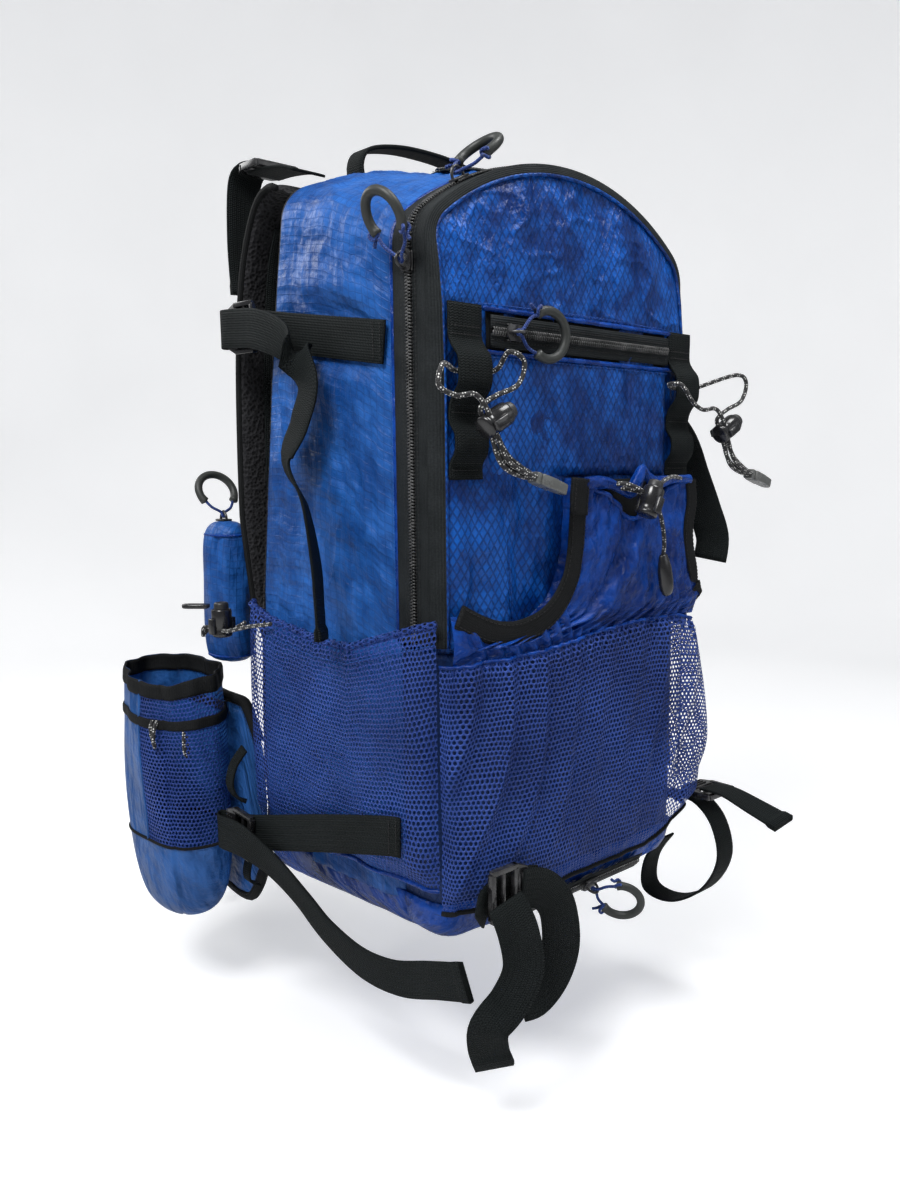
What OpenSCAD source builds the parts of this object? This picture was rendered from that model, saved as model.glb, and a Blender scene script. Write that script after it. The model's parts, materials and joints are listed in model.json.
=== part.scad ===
// Panel-loading hiking daypack: packbag, zipped front door, harness, hip belt and hardware.
// Frame: origin at the centre of the base, +Z up, -Y the front (away from the wearer),
// -X the left. Pieces that come in pairs are drawn on the left and mirrored.

/* [Packbag] */
// Half width of the front door, to the zipper run
half_w = 115.5; // [114.5:0.5:116.5]
// Radius of the arched top of the door
arch_r = 170; // [168:1:172]
// Height of the centre of the arch above the base
arch_z = 311; // [309:1:313]
// Corner radius where the arch meets the side runs
corner_r = 26; // [24:1:28]
// Thickness of the lined fabric panels
wall = 2.4; // [1.6:0.2:2.4]
// Flare of the side panels towards the back, degrees
flare = 4; // [3.5:0.25:4.5]

/* [Webbing and cord] */
// Width of the webbing
web_w = 25.4; // [24:0.2:25.4]
// Thickness of the webbing
web_t = 1.6; // [1.2:0.1:1.8]
// Radius of the elastic cord
cord_r = 1.5; // [1.3:0.1:1.6]

/* [Zippers] */
// Width of one half of the main zipper tape
tape_w = 12.5; // [10:0.5:12.5]
// Width of one coil
coil_w = 2.4; // [2:0.1:2.6]
// Radius of the pull's pivot bore
bail_r = 1.25; // [1.2:0.05:1.3]
// Ring radius of the moulded pull
pull_r = 14; // [12:0.5:15]
// Half thickness of the moulded pull
pull_t = 2.8; // [2.4:0.1:3]

/* [Cord locks] */
// Outer radius of a cord lock barrel
lock_r = 7; // [6.8:0.1:7.2]

/* [Padding] */
// Thickness of the shoulder strap foam
strap_t = 10; // [8:0.5:10]
// Thickness of the hip belt foam
belt_t = 11; // [9:0.5:11]
// Depth of the back pads
pad_t = 9; // [7:0.5:9]

/* [Hidden] */
blue = [0.05, 0.16, 0.52];
mesh_blue = [0.16, 0.22, 0.55];
black = [0.04, 0.04, 0.045];
sheet_black = [0.1, 0.1, 0.11];
grey = [0.2, 0.21, 0.22];

fold_z = 190;                // height of the door's fold line
crown_z = arch_z + arch_r;   // top of the arch
sheet_t = 1.6;               // mesh, single fabric and stiffener sheets
// Centre of the left corner arc, and the angle above the horizontal where it meets the arch
corner_x = -(half_w - corner_r);
corner_z = arch_z + sqrt((arch_r - corner_r)*(arch_r - corner_r) - corner_x*corner_x);
corner_angle = acos(-corner_x/(arch_r - corner_r));

// ---- paths ----
function unit(v) = v/norm(v);
function step_dir(path, i) = unit(path[i+1] - path[i]);
function path_dir(path, i) = i == 0 ? step_dir(path, 0)
  : i == len(path)-1 ? step_dir(path, i-1)
  : unit(step_dir(path, i-1) + step_dir(path, i));
function mitre(path, i) = (i == 0 || i == len(path)-1) ? 1
  : 1/max(0.6, path_dir(path, i)*step_dir(path, i));
// Plane path moved sideways, positive to the left of its direction
function shifted(path, distance) = [for (i = [0:len(path)-1]) let (t = path_dir(path, i))
  path[i] + [-t[1], t[0]]*distance*mitre(path, i)];
function reversed(path) = [for (i = [len(path)-1:-1:0]) path[i]];
function rest(path) = [for (i = [1:len(path)-1]) path[i]];
// Catmull-Rom curve through the points, with a number of steps to each span
function curve_point(a, b, c, d, t) =
  0.5*((2*b) + (c - a)*t + (2*a - 5*b + 4*c - d)*t*t + (3*b - a - 3*c + d)*t*t*t);
function curve(p, steps = 4) = let (last = len(p)-1) concat(
  [for (i = [0:last-1], k = [0:steps-1])
    curve_point(p[max(0, i-1)], p[i], p[i+1], p[min(last, i+2)], k/steps)],
  [p[last]]);
function arc(centre, r, start, end, steps) = [for (i = [0:steps])
  let (a = start + (end - start)*i/steps) centre + r*[cos(a), sin(a)]];
function rounded_rect(x0, x1, z0, z1, r, steps) = concat(
  arc([x0+r, z1-r], r, 180, 90, steps), arc([x1-r, z1-r], r, 90, 0, steps),
  arc([x1-r, z0+r], r, 0, -90, steps), arc([x0+r, z0+r], r, -90, -180, steps));

// ---- shapes ----
// Strip of even thickness along a plane path
module strip(path, thickness)
  polygon(concat(shifted(path, thickness/2), reversed(shifted(path, -thickness/2))));
module oval(centre, radius_x, radius_y, sides) translate(centre)
  polygon([for (i = [0:sides-1]) [radius_x*cos(360*i/sides), radius_y*sin(360*i/sides)]]);
// Extrusions from a start along one axis; the drawing is in (y, z), (x, z) or (x, y)
module extrude_x(start, length)
  translate([start, 0, 0]) rotate([90, 0, 90]) linear_extrude(length) children();
module extrude_y(start, length)
  translate([0, start + length, 0]) rotate([90, 0, 0]) linear_extrude(length) children();
module extrude_z(start, length) translate([0, 0, start]) linear_extrude(length) children();
module across_bag(width) extrude_x(-width/2, width) children();
module mirrored() mirror([1, 0, 0]) children();
module both() {
  children();
  mirrored() children();
}
// Skin over rings of equal point count, capped at both ends
module skin(rings) {
  sides = len(rings[0]);
  last = len(rings)-1;
  polyhedron(points = [for (r = rings) each r], convexity = 6, faces = concat(
    [for (i = [0:last-1], j = [0:sides-1])
      [i*sides+j, (i+1)*sides+j, (i+1)*sides+(j+1)%sides]],
    [for (i = [0:last-1], j = [0:sides-1])
      [i*sides+j, (i+1)*sides+(j+1)%sides, i*sides+(j+1)%sides]],
    [[for (j = [0:sides-1]) j]],
    [[for (j = [sides-1:-1:0]) last*sides+j]]));
}
// Elastic cord along a space path; ref is any direction the path never takes
module cord(path, ref, sides = 8) skin([for (i = [0:len(path)-1])
  let (t = path_dir(path, i), a = unit(cross(t, ref)), b = cross(t, a))
  [for (j = [0:sides-1]) path[i] + cord_r*(a*cos(360*j/sides) + b*sin(360*j/sides))]]);
// Webbing through stations [x, y, z] or [x, y, z, then the width direction x, y, z];
// short stations take their width direction from across
module band(stations, steps = 3, across = [1, 0, 0], w = web_w) {
  path = curve([for (s = stations) [s[0], s[1], s[2]]], steps);
  dirs = curve([for (s = stations) len(s) > 3 ? [s[3], s[4], s[5]] : across], steps);
  skin([for (i = [0:len(path)-1])
    let (t = path_dir(path, i), a = unit(dirs[i] - (dirs[i]*t)*t), b = cross(t, a))
    [path[i] + a*w/2 + b*web_t/2, path[i] - a*w/2 + b*web_t/2,
     path[i] - a*w/2 - b*web_t/2, path[i] + a*w/2 - b*web_t/2]]);
}

// ---- packbag ----
// Side profiles, columns y, z
front_profile = [[-85, fold_z + 1], [-85, 395], [-83.5, 430], [-80, 455], [-76, 472],
  [-74.5, 482]];
back_profile = curve([[62, 482], [66, 462], [74, 420], [84, 360], [93, 290], [101, 225],
  [106, 160], [108, 90], [107, 16]], 3);
base_profile = concat(arc([-66, 18], 16.8, 205, 270, 5), arc([94, 14], 12.8, 270, 350, 5));
side_outline = concat(
  [[-45, 22], [-45, 420], [-41, 446], [-20, 462], [30, 474], [58, 478]],
  [for (p = back_profile) if (p[1] < 476 && p[1] > 20) p - [3, 0]],
  [[104, 20]]);
// Columns x, z
back_outline = [[-124, 14], [124, 14], [119, 440], [104, 482], [60, 500], [-60, 500],
  [-104, 482], [-119, 440]];
// Door outline in (x, z), from a foot height up the left, over the arch and down the right
function door_path(foot_z) = concat([[-half_w, foot_z]],
  arc([corner_x, corner_z], corner_r, 180, 180 - corner_angle, 6),
  rest(arc([0, arch_z], arch_r, 180 - corner_angle, corner_angle, 22)),
  rest(arc([-corner_x, corner_z], corner_r, corner_angle, 0, 6)),
  [[half_w, foot_z]]);

module back_panel() color(black) intersection() {
  across_bag(260) strip(back_profile, wall);
  extrude_y(40, 90) polygon(back_outline);
}
// Each side panel turns about its front edge line by the flare
side_hinge = [-116, -50];
module side_panels() color(blue) both()
  translate([side_hinge[0], side_hinge[1], 0]) rotate([0, 0, flare])
    extrude_x(-wall, wall) translate([-side_hinge[1], 0]) polygon(side_outline);
// The arched top tilts up towards the back
module top_panel() color(blue)
  translate([0, -45, crown_z]) rotate([7, 0, 0]) translate([0, 0, -crown_z])
    extrude_y(0.8, 104) strip(arc([0, arch_z], arch_r, 124, 56, 20), wall);
module base_panel() color(blue) across_bag(226) strip(base_profile, wall);
lower_z = 28;                 // foot of the lower front panel
lower_h = fold_z - 3 - lower_z;
module lower_front_panel() color(blue) {
  translate([-half_w + 2, -85, lower_z]) cube([2*half_w - 4, wall, lower_h]);
  both() translate([-half_w, -84, lower_z]) cube([1.6, 36, lower_h]);
}
module frame_sheet() color(sheet_black) intersection() {
  across_bag(200) strip(shifted(back_profile, -5), sheet_t);
  extrude_y(20, 100) polygon(rounded_rect(-100, 100, 30, 450, r = 20, steps = 6));
}
module hydration_sleeve() color(grey) intersection() {
  across_bag(172) strip(shifted(back_profile, -12), sheet_t);
  extrude_y(10, 100) polygon(concat([[-84, 440], [84, 440]],
    arc([60, 170], 24, 0, -90, 6), arc([-60, 170], 24, -90, -180, 6)));
}
// Two upper pads and one wide lower pad, standing just off the back panel
module back_pads() color(black) intersection() {
  across_bag(220) strip(shifted(back_profile, wall/2 + 0.6 + pad_t/2), pad_t);
  union() {
    both() extrude_y(50, 90) polygon(rounded_rect(-98, -14, 236, 436, r = 16, steps = 5));
    extrude_y(50, 90) polygon(rounded_rect(-96, 96, 62, 204, r = 16, steps = 5));
  }
}

// ---- zippers ----
zip_gap = 1.2;                // from the zipper's centre line to each half
tape_t = 0.8;
coil_t = 1.3;
coil_rise = 1.15;             // centre of the coil above the centre of the tape
pivot_z = 6.7;                // height of a slider's pivot bore
// Start in y of one half; half is +1 or -1 for the side of the centre line
function half_start(half, width) = half > 0 ? zip_gap : -zip_gap - width;
// Half zipper along paths in (x, z)
module curved_half(tape_path, coil_path, half, width) {
  extrude_y(half_start(half, width), width) strip(tape_path, tape_t);
  extrude_y(half_start(half, coil_w), coil_w) strip(coil_path, coil_t);
}
// Straight zipper along +x, coils on the +z face
module straight_zipper(length, width) for (half = [-1, 1]) {
  translate([0, half_start(half, width), -tape_t/2]) cube([length, width, tape_t]);
  translate([0, half_start(half, coil_w), coil_rise - coil_t/2])
    cube([length, coil_w, coil_t]);
}
// Upper plate and bored lug of a slider, joined with the children
module slider_shell() difference() {
  union() {
    translate([-6, -4.8, 2.4]) cube([12, 9.6, 1.5]);
    translate([-3.4, -1.5, 3.5]) cube([6.8, 3, 3]);
    translate([0, 1.5, 6.5]) rotate([90, 0, 0]) cylinder(r = 3.4, h = 3, $fn = 32);
    children();
  }
  translate([0, 5, pivot_z]) rotate([90, 0, 0]) cylinder(r = bail_r, h = 10, $fn = 32);
}
// Slider running along x: lower plate and the post between the plates
module slider() slider_shell() {
  translate([-6, -4.8, -3.1]) cube([12, 9.6, 1.3]);
  translate([3, -0.6, -2]) cube([3, 1.2, 5]);
}
// Pull hinged along y in the slider's bore, its ring towards +x, raised by tilt degrees;
// reach is the distance from the pivot to the near side of the ring
module pull(tilt, reach) translate([0, 0, pivot_z]) rotate([0, -tilt, 0]) {
  pin_l = 9.2;
  leg_y = 4;
  ring_x = reach + pull_r;
  ring_half = 125;            // half angle of the open ring
  end_x = ring_x - pull_r*cos(180 - ring_half);
  end_y = pull_r*sin(180 - ring_half);
  leg_l = norm([end_x, end_y - leg_y]);
  rotate([90, 0, 0]) translate([0, 0, -pin_l/2])
    cylinder(r = bail_r - 0.08, h = pin_l, $fn = 32);
  for (s = [-1, 1]) translate([0, s*leg_y, 0])
    rotate([0, 0, atan2(s*(end_y - leg_y), end_x)]) rotate([0, 90, 0])
      translate([0, 0, -0.6]) cylinder(r = 0.9, h = leg_l + 1.2, $fn = 24);
  translate([ring_x, 0, 0]) rotate([0, 0, -ring_half])
    rotate_extrude(angle = 2*ring_half, $fn = 48)
      translate([pull_r, 0]) circle(r = pull_t, $fn = 24);
}

// Main zipper round the door
main_zip_y = -60;
main_slider_z = 414;          // height of the slider on the left run
arch_slider_angle = 27;       // second slider, left of the crown
main_path = door_path(fold_z + 2);
module main_half(half) translate([0, main_zip_y, 0])
  curved_half(main_path, shifted(main_path, coil_rise), half, tape_w);
module at_main_l()
  translate([-half_w, main_zip_y, main_slider_z]) rotate([0, -90, 0]) children();
// Place on an arch of radius r, an angle left of the crown
module at_arch(angle, r, y)
  translate([0, y, arch_z]) rotate([0, -angle, 0]) translate([0, 0, r]) children();
module at_main_r() at_arch(arch_slider_angle, arch_r, main_zip_y) children();
module main_zipper_bag_half() color(black) main_half(1);
module main_zipper_door_half() color(black) main_half(-1);
module main_slider_l() color(black) at_main_l() slider();
module main_pull_l() color(grey) at_main_l() pull(tilt = 28, reach = 10);
module main_slider_r() color(black) at_main_r() rotate([0, 0, 180]) slider();
module main_pull_r() color(grey) at_main_r() pull(tilt = 14, reach = 9);

// Top pocket zipper, on an arch above the top panel
top_zip_r = arch_r + 11;
top_zip_y = -6;
function top_arc(rise) = arc([0, 0], top_zip_r + rise, 106, 62, 18);
module at_top_slider() at_arch(-21, top_zip_r, top_zip_y) children();
module top_pocket_zipper() color(black) translate([0, top_zip_y, arch_z])
  for (half = [-1, 1]) curved_half(top_arc(0), top_arc(coil_rise), half, 9);
module top_slider() color(black) at_top_slider() slider();
module top_pull() color(grey) at_top_slider() pull(tilt = 24, reach = 7);

// Front pocket zipper, flat on the door
pocket_slider_x = -64;
module at_pocket(x) translate([x, -89.4, 376]) rotate([90, 0, 0]) children();
module front_pocket_zipper() color(black) at_pocket(-80) straight_zipper(166, 10.5);
module pocket_slider() color(black) at_pocket(pocket_slider_x) rotate([0, 0, 180]) slider();
module pocket_pull() color(grey) at_pocket(pocket_slider_x) pull(tilt = 6, reach = 8);

// Base pocket zipper, along the lower front edge
base_slider_x = 14;
module at_base(x)
  translate([x, -83.4, 9.5]) rotate([122, 0, 0]) translate([0, 0, 2.8]) children();
module base_pocket_zipper() color(black) at_base(-70) straight_zipper(140, 7.5);
module base_slider() color(black) at_base(base_slider_x) slider();
module base_pull() color(grey) at_base(base_slider_x) pull(tilt = 50, reach = 7);

// ---- cord locks ----
lock_hole_y = 2.4;            // each cord hole from the barrel's axis
lock_hole_z = 5.4;            // height of the holes above the barrel's foot
// Barrel with its axis along z and the cords along x
module lock_body() difference() {
  union() {
    cylinder(r = lock_r, h = 20, $fn = 40);
    translate([-3.2, -lock_r - 2.5, 2]) cube([6.4, 2*lock_r + 5, 12]);
  }
  translate([0, 0, 9.5]) cylinder(r = lock_r - 1.5, h = 11, $fn = 40);
  for (s = [-1, 1]) translate([-15, s*lock_hole_y, lock_hole_z])
    rotate([0, 90, 0]) cylinder(r = cord_r + 0.8, h = 30, $fn = 24);
}
module lock_button() translate([0, 0, 13.4]) cylinder(r = lock_r - 1.85, h = 11.4, $fn = 40);

// ---- pockets on the bag ----
// Plan lines, columns x, y
front_pocket_line = curve([[-117.5, -88], [-113, -97], [-90, -103.5], [-40, -106],
  [40, -106], [90, -103.5], [113, -97], [117.5, -88]], 3);
side_pocket_line = curve([[-120, -80], [-128, -73], [-133, -40], [-137, 20], [-141, 70],
  [-139, 98], [-132, 107]], 3);
module front_mesh_pocket() color(mesh_blue) {
  extrude_z(30, fold_z - 33) strip(front_pocket_line, sheet_t);
  extrude_z(30 - sheet_t, sheet_t) polygon(shifted(front_pocket_line, sheet_t/2));
}
module side_mesh_pockets() color(mesh_blue) both() {
  extrude_z(46, 152) strip(side_pocket_line, sheet_t);
  extrude_z(46 - sheet_t, sheet_t) polygon(shifted(side_pocket_line, -sheet_t/2));
}

side_lock = [-150.5, 118, 178];
outer_cord_x = side_lock[0] - lock_hole_y;
inner_cord_x = side_lock[0] + lock_hole_y;
side_cord_z = side_lock[2] + lock_hole_z;
module side_cord(path) cord(curve(path), [0.4, 0.05, 1]);
module side_pocket_cords() color(black) both() {
  side_cord([[-144, 62, 193], [-148, 84, 189], [outer_cord_x, 102, 184.4],
    [outer_cord_x, 108, side_cord_z], [outer_cord_x, 130, side_cord_z]]);
  side_cord([[-143, 98, 190], [-146, 103, 186.4], [inner_cord_x, 108, side_cord_z],
    [inner_cord_x, 130, side_cord_z]]);
}
module at_side_lock() translate(side_lock) rotate([0, 0, 90]) children();
// Flat tab ending at x = w/2, its far end rounded
module round_tab(length, w, thickness) {
  translate([-length + w/2, -w/2, 0]) cube([length - w/2, w, thickness]);
  translate([-length + w/2, 0, 0]) cylinder(r = w/2, h = thickness, $fn = 32);
}
module side_pocket_locks() color(black) both() {
  at_side_lock() lock_body();
  translate([-163, 121, 199.4]) rotate([0, 0, -44]) round_tab(15, 9, 3);
}
module side_button_l() color(grey) at_side_lock() lock_button();
module side_button_r() color(grey) mirrored() at_side_lock() lock_button();

// Closed oval pouch with a zipper slot in its +Y half, on the left belt wing
pouch_x = -121;
pouch_centre = [pouch_x, 162];
module zip_pouch() color(blue) difference() {
  extrude_z(152, 104) oval(pouch_centre, 17, 21, 28);
  extrude_z(154, 100) oval(pouch_centre, 15, 19, 28);
  translate([pouch_x - 1.2, 125, 250]) cube([2.4, 80, 10]);
}
module pouch_slider() color(grey) translate([pouch_x, 165, 254.4]) rotate([0, 0, 90]) {
  slider_shell() translate([-3, -0.7, -2]) cube([6, 1.4, 5]);
  pull(tilt = 62, reach = 6);
}

// ---- door ----
module front_panel() color(blue) intersection() {
  across_bag(226) strip(shifted(front_profile, -wall/2), wall);
  extrude_y(-90, 50) polygon(shifted(door_path(fold_z + 1), -2));
}
module front_pocket_panel() color(blue) translate([-80, -88.2, 300]) cube([168, sheet_t, 60]);
// A right-hand panel above a low strip across the whole door
module stretch_pocket() color(blue) {
  extrude_z(204, 84)
    strip(curve([[-14, -88], [0, -94], [40, -99], [84, -96], [100, -88]], 3), sheet_t);
  extrude_z(196, 8)
    strip(curve([[-108, -87.6], [-90, -91], [0, -95], [90, -91], [108, -87.6]], 3), sheet_t);
}
module stretch_pocket_binding() color(black) extrude_y(-103, 1.8) {
  strip(curve([[-9, 290], [-12, 255], [-21, 222], [-46, 200], [-80, 198.5], [-108, 212]]), 13);
  strip(curve([[104, 276], [105, 256], [110, 232], [112, 212]], 3), 7);
}

daisy_l_x = -98;
daisy_r_x = 101.5;
// Columns y, z, from the top: a large loop, then a small one
daisy_profile = [[-86.4, 387], [-86.4, 372], [-90, 366], [-95, 360], [-96, 352], [-95, 344],
  [-90, 338], [-86.4, 332], [-86.4, 324], [-92, 317], [-92, 307], [-86.4, 300], [-86.4, 293]];
module daisy_chains() color(black) for (x = [daisy_l_x, daisy_r_x])
  extrude_x(x - web_w/2, web_w) strip(daisy_profile, web_t);

// Cord of the stretch pocket, with a round-nosed end
module stretch_cord() color(black) {
  cord(curve([[8, -101.5, 286], [24, -106, 285], [44, -109, 281], [54, -109, 268],
    [57, -108, 250], [57, -107, 238]]), [0.1, 1, 0.1]);
  translate([57, -107, 237.4]) rotate([0, 168, 0]) {
    cylinder(r1 = 3, r2 = 4.2, h = 8, $fn = 32);
    translate([0, 0, 8]) cylinder(r = 4.2, h = 14, $fn = 32);
    translate([0, 0, 22]) sphere(r = 4.2, $fn = 32);
  }
}
module at_stretch_lock() translate([30, -118, 266]) rotate([0, 25, 0]) children();
module stretch_lock() color(black) at_stretch_lock() lock_body();
module stretch_button() color(grey) at_stretch_lock() lock_button();

// ---- tool cords ----
// Elastic cord threaded through the large loop of a daisy chain at x;
// droop is the sideways shift of its free end and its lock
tool_y = -107.5;
tool_lock_z = 322;
droop_l = 0;
droop_r = 28;
// One strand through the lock, from the free end; columns x from the lock, z
tool_strand = [[35, 292.2], [24, 295.6], [14, 300.4], [8.5, 306], [4.7, 313.2],
  [0, tool_lock_z], [-4.7, 330.8]];
function strand(x, side) = [for (p = tool_strand) [x + p[0], tool_y + side*lock_hole_y, p[1]]];
function tool_path(x, droop) = let (lock_x = x + droop) curve(concat(
  strand(lock_x, -1),
  [[lock_x - 12, tool_y - 1, 338], [lock_x - 24, tool_y + 1, 337],
   [lock_x - 35, tool_y + 2, 342], [x - 30 + droop/2, tool_y + 5, 353],
   [x - 19, -94.5, 354], [x - 12, -91.2, 352], [x, -91.2, 352], [x + 12, -91.2, 352],
   [x + 18, -95, 354.5], [lock_x + 17, tool_y + 2, 363], [lock_x + 27, tool_y, 358],
   [lock_x + 23, tool_y + 1, 345], [lock_x + 6, tool_y + 1.5, 338]],
  reversed(strand(lock_x, 1))), 3);
// Tapered, round-nosed end with two flat sides
module cord_end() intersection() {
  union() {
    cylinder(r = 5.2, h = 16, $fn = 40);
    translate([0, 0, 16]) cylinder(r1 = 5.2, r2 = 4, h = 8, $fn = 40);
    translate([0, 0, 24]) sphere(r = 4, $fn = 40);
  }
  translate([-3.6, -6, -1]) cube([7.2, 12, 40]);
}
module tool_cord(x, droop) color(black) {
  cord(tool_path(x, droop), [0.02, 1, 0.03]);
  translate([x + droop + 35.3, tool_y, 292.1]) rotate([0, 107, 0]) cord_end();
}
module at_tool_lock(x, droop) translate([x + droop, tool_y, tool_lock_z])
  rotate([0, 62, 0]) translate([0, 0, -lock_hole_z]) children();
module tool_cord_l() tool_cord(daisy_l_x, droop_l);
module tool_cord_r() tool_cord(daisy_r_x, droop_r);
module tool_lock_l() color(black) at_tool_lock(daisy_l_x, droop_l) lock_body();
module tool_lock_r() color(black) at_tool_lock(daisy_r_x, droop_r) lock_body();
module tool_button_l() color(grey) at_tool_lock(daisy_l_x, droop_l) lock_button();
module tool_button_r() color(grey) at_tool_lock(daisy_r_x, droop_r) lock_button();

// ---- harness ----
// Side profile, columns y, z
strap_path = curve([[70, 474], [84, 480], [104, 470], [122, 434], [131, 380], [134, 320],
  [134, 260], [131, 200], [127, 150]]);
// Left strap seen from the front, columns x, z
strap_outline = [[-120, 500], [-64, 500], [-62, 400], [-62, 240], [-68, 180], [-76, 150],
  [-104, 150], [-118, 190], [-123, 260], [-121, 400]];
module shoulder_straps() color(black) both() intersection() {
  extrude_x(-124, 66) strip(strap_path, strap_t);
  extrude_y(50, 120) polygon(strap_outline);
}
// Webbing into and out of the top ladder lock, then the strap below the foam
module harness_webbing() color(black) both() {
  band([[-100, 66, 489], [-100, 82, 494], [-100, 104, 497], [-100, 124, 498]], steps = 2);
  band([[-100, 124, 505.2], [-100.5, 137, 505], [-103, 146, 494], [-104, 148.5, 455],
    [-103, 148, 420]]);
  band([[-90, 125.5, 147], [-90, 122.4, 136], [-89, 121.6, 116], [-85, 122.4, 90],
    [-82, 121.5, 58]]);
}
// Ladder lock: webbing along x, width along y, outer face +z
module ladder_lock() difference() {
  linear_extrude(4.4) polygon(concat(arc([-10, 13.5], 3.5, 90, 180, 4),
    arc([-10, -13.5], 3.5, 180, 270, 4), [[8, -17], [17, -13], [17, 13], [8, 17]]));
  translate([-10, -13.6, -1]) cube([6, 27.2, 7]);
  translate([-1.5, -13.6, -1]) cube([7, 27.2, 7]);
  for (x = [9, 12.6]) translate([x, -9, 3.4]) cube([2, 18, 3]);
}
// Ladder lock facing outwards on the flared left side, turned in its own plane
module side_ladder_lock(place, turn)
  translate(place) rotate([0, 0, 5]) rotate([90, 0, -90]) rotate([0, 0, turn]) ladder_lock();
module ladder_locks() color(black) {
  both() {
    side_ladder_lock([-132.6, 98, 390], 180);
    side_ladder_lock([-152.8, 96, 38.6], 172);
    translate([-100, 118, 499]) rotate([0, 0, 90]) ladder_lock();
    translate([-90, 128, 118]) rotate([8, 0, 0]) rotate([-90, 0, 0]) rotate([0, 0, 90])
      ladder_lock();
  }
  translate([-90, -110, 42]) rotate([90, 0, 0]) ladder_lock();
  translate([141, -97, 46]) rotate([0, 0, 90]) ladder_lock();
}

// Compression straps: band stations x, y, z, width direction. Each run goes back along the
// side and doubles over its ladder lock; the tails differ left and right.
upper_run = [
  [-120.6, -40.5, 370.5, 0, -0.14, 1], [-123.2, 0, 376, 0, -0.14, 1],
  [-126.8, 50, 383, 0, -0.14, 1], [-129.2, 84, 388, 0, -0.14, 1],
  [-130.4, 104, 390, 0, 0, 1], [-135, 121.5, 390, 0, 0, 1], [-141.4, 115, 390, 0, 0, 1],
  [-140.6, 96, 389, 0, 0, 1], [-139.8, 70, 386, 0, 0.15, 1]];
upper_tail_l = [
  [-138.5, 38, 374, -0.1, 0.6, 0.8], [-139, 14, 350, 0.1, 1, 0.1],
  [-141, 22, 325, 0.1, 0.95, -0.1], [-142.5, 36, 302, 0.3, 0.9, 0.1],
  [-142.5, 16, 274, 0.6, 0.8, 0], [-145, 2, 240, 0.69, 0.72, 0],
  [-148.5, -6, 214, 0.69, 0.72, 0], [-149.5, -9, 192, 0.69, 0.72, 0]];
// Comes forward and hangs at the front corner
upper_tail_r = [
  [-140.5, 36, 377, 0, -0.3, 0.95], [-142, 0, 362, 0, -0.45, 0.9],
  [-142.5, -34, 342, -0.05, -0.65, 0.75], [-142, -60, 318, -0.2, -0.9, 0.35],
  [-146, -70, 290, -0.5, -0.85, 0.05], [-155, -75, 265, -0.72, -0.69, 0],
  [-163, -78, 243, -0.72, -0.69, 0], [-159, -79, 226, -0.72, -0.69, 0]];
lower_run = [
  [-133.4, -64, 75, 0, 0.2, 1], [-135.4, -52, 73.5, 0, 0.2, 1], [-142, 0, 62, 0, 0.2, 1],
  [-147, 50, 49.5, 0, 0.2, 1], [-149.8, 80, 42, 0, 0.2, 1], [-150.6, 102, 37.6, 0, 0, 1],
  [-156, 121, 37, 0, 0, 1], [-162.4, 113.5, 37, 0, 0, 1], [-161.4, 92, 38, 0, 0, 1],
  [-158, 76, 34, 0, -0.5, 0.9]];
// Lies towards the front
lower_tail_l = [
  [-150, 58, 22, 0, -0.8, 0.6], [-140, 40, 2, 0, -0.9, 0.4],
  [-132, 22, -18, -0.1, -0.6, 0.8], [-129, -13, -28, -0.1, -0.1, 1],
  [-126.5, -48, -26, -0.1, 0.1, 1], [-123.5, -82, -15, -0.1, 0.2, 1],
  [-121, -110, -6, -0.1, 0.3, 1]];
// Hangs down
lower_tail_r = [
  [-150, 60, 20, 0, -0.8, 0.6], [-144, 50, 0, 0, -0.95, 0.3], [-140, 44, -24, 0, -1, 0],
  [-139, 41, -48, 0, -1, 0], [-140, 39, -66, 0, -1, 0]];
module compression_straps() color(black) {
  band(concat(upper_run, upper_tail_l));
  mirrored() band(concat(upper_run, upper_tail_r));
  band(concat(lower_run, lower_tail_l));
  mirrored() band(concat(lower_run, lower_tail_r));
}
module bottom_straps() color(black) {
  // left: the piece behind the ladder lock, then the two tails in front of it
  band([[-112, -112, 30, 0, 0, 1], [-104, -108.2, 38, 0, 0, 1], [-92, -108, 42, 0, 0, 1],
    [-76, -108, 43, 0, 0, 1], [-62, -108.6, 40, 0.1, 0, 1]], w = 20);
  band([[-80, -116, 42, 0.1, 0, 1], [-64, -117, 38, 0.4, 0, 0.8],
    [-50, -116.5, 22, 0.9, -0.3, 0.3], [-44, -115, -4, 0.8, -0.5, 0],
    [-46, -112, -26, 0.8, -0.4, -0.4], [-60, -110, -38, 0.5, -0.5, -0.8],
    [-74, -108, -38, 0.2, -0.6, -0.8]]);
  band([[-96, -117.6, 40, 0.9, -0.02, 0.4], [-92, -124.5, 22, 0.8, -0.5, 0.1],
    [-88, -125, -4, 0.72, -0.69, 0], [-96, -121, -24, 0.65, -0.69, -0.3],
    [-110, -118.5, -36, 0.65, -0.6, -0.5], [-108, -115, -52, 0.72, -0.69, 0.1],
    [-101, -113, -68, 0.72, -0.69, 0.1]]);
  // right: a strap looping below the base, and a tail pointing forward
  band([[130, -60, 40], [131, -76, 42], [134, -94, 42.5], [134, -112, 28], [132, -120, 2],
    [131, -106, -26], [130, -78, -44], [130, -52, -42], [130, -52, -18], [130, -66, 4]],
    w = 20);
  band([[136, -100, 52.6, 1, 0, 0], [134, -120, 54, 1, 0, 0.05], [130, -146, 50, 1, 0, 0.2],
    [127, -172, 45, 1, 0, 0.3]], w = 20);
}
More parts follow.
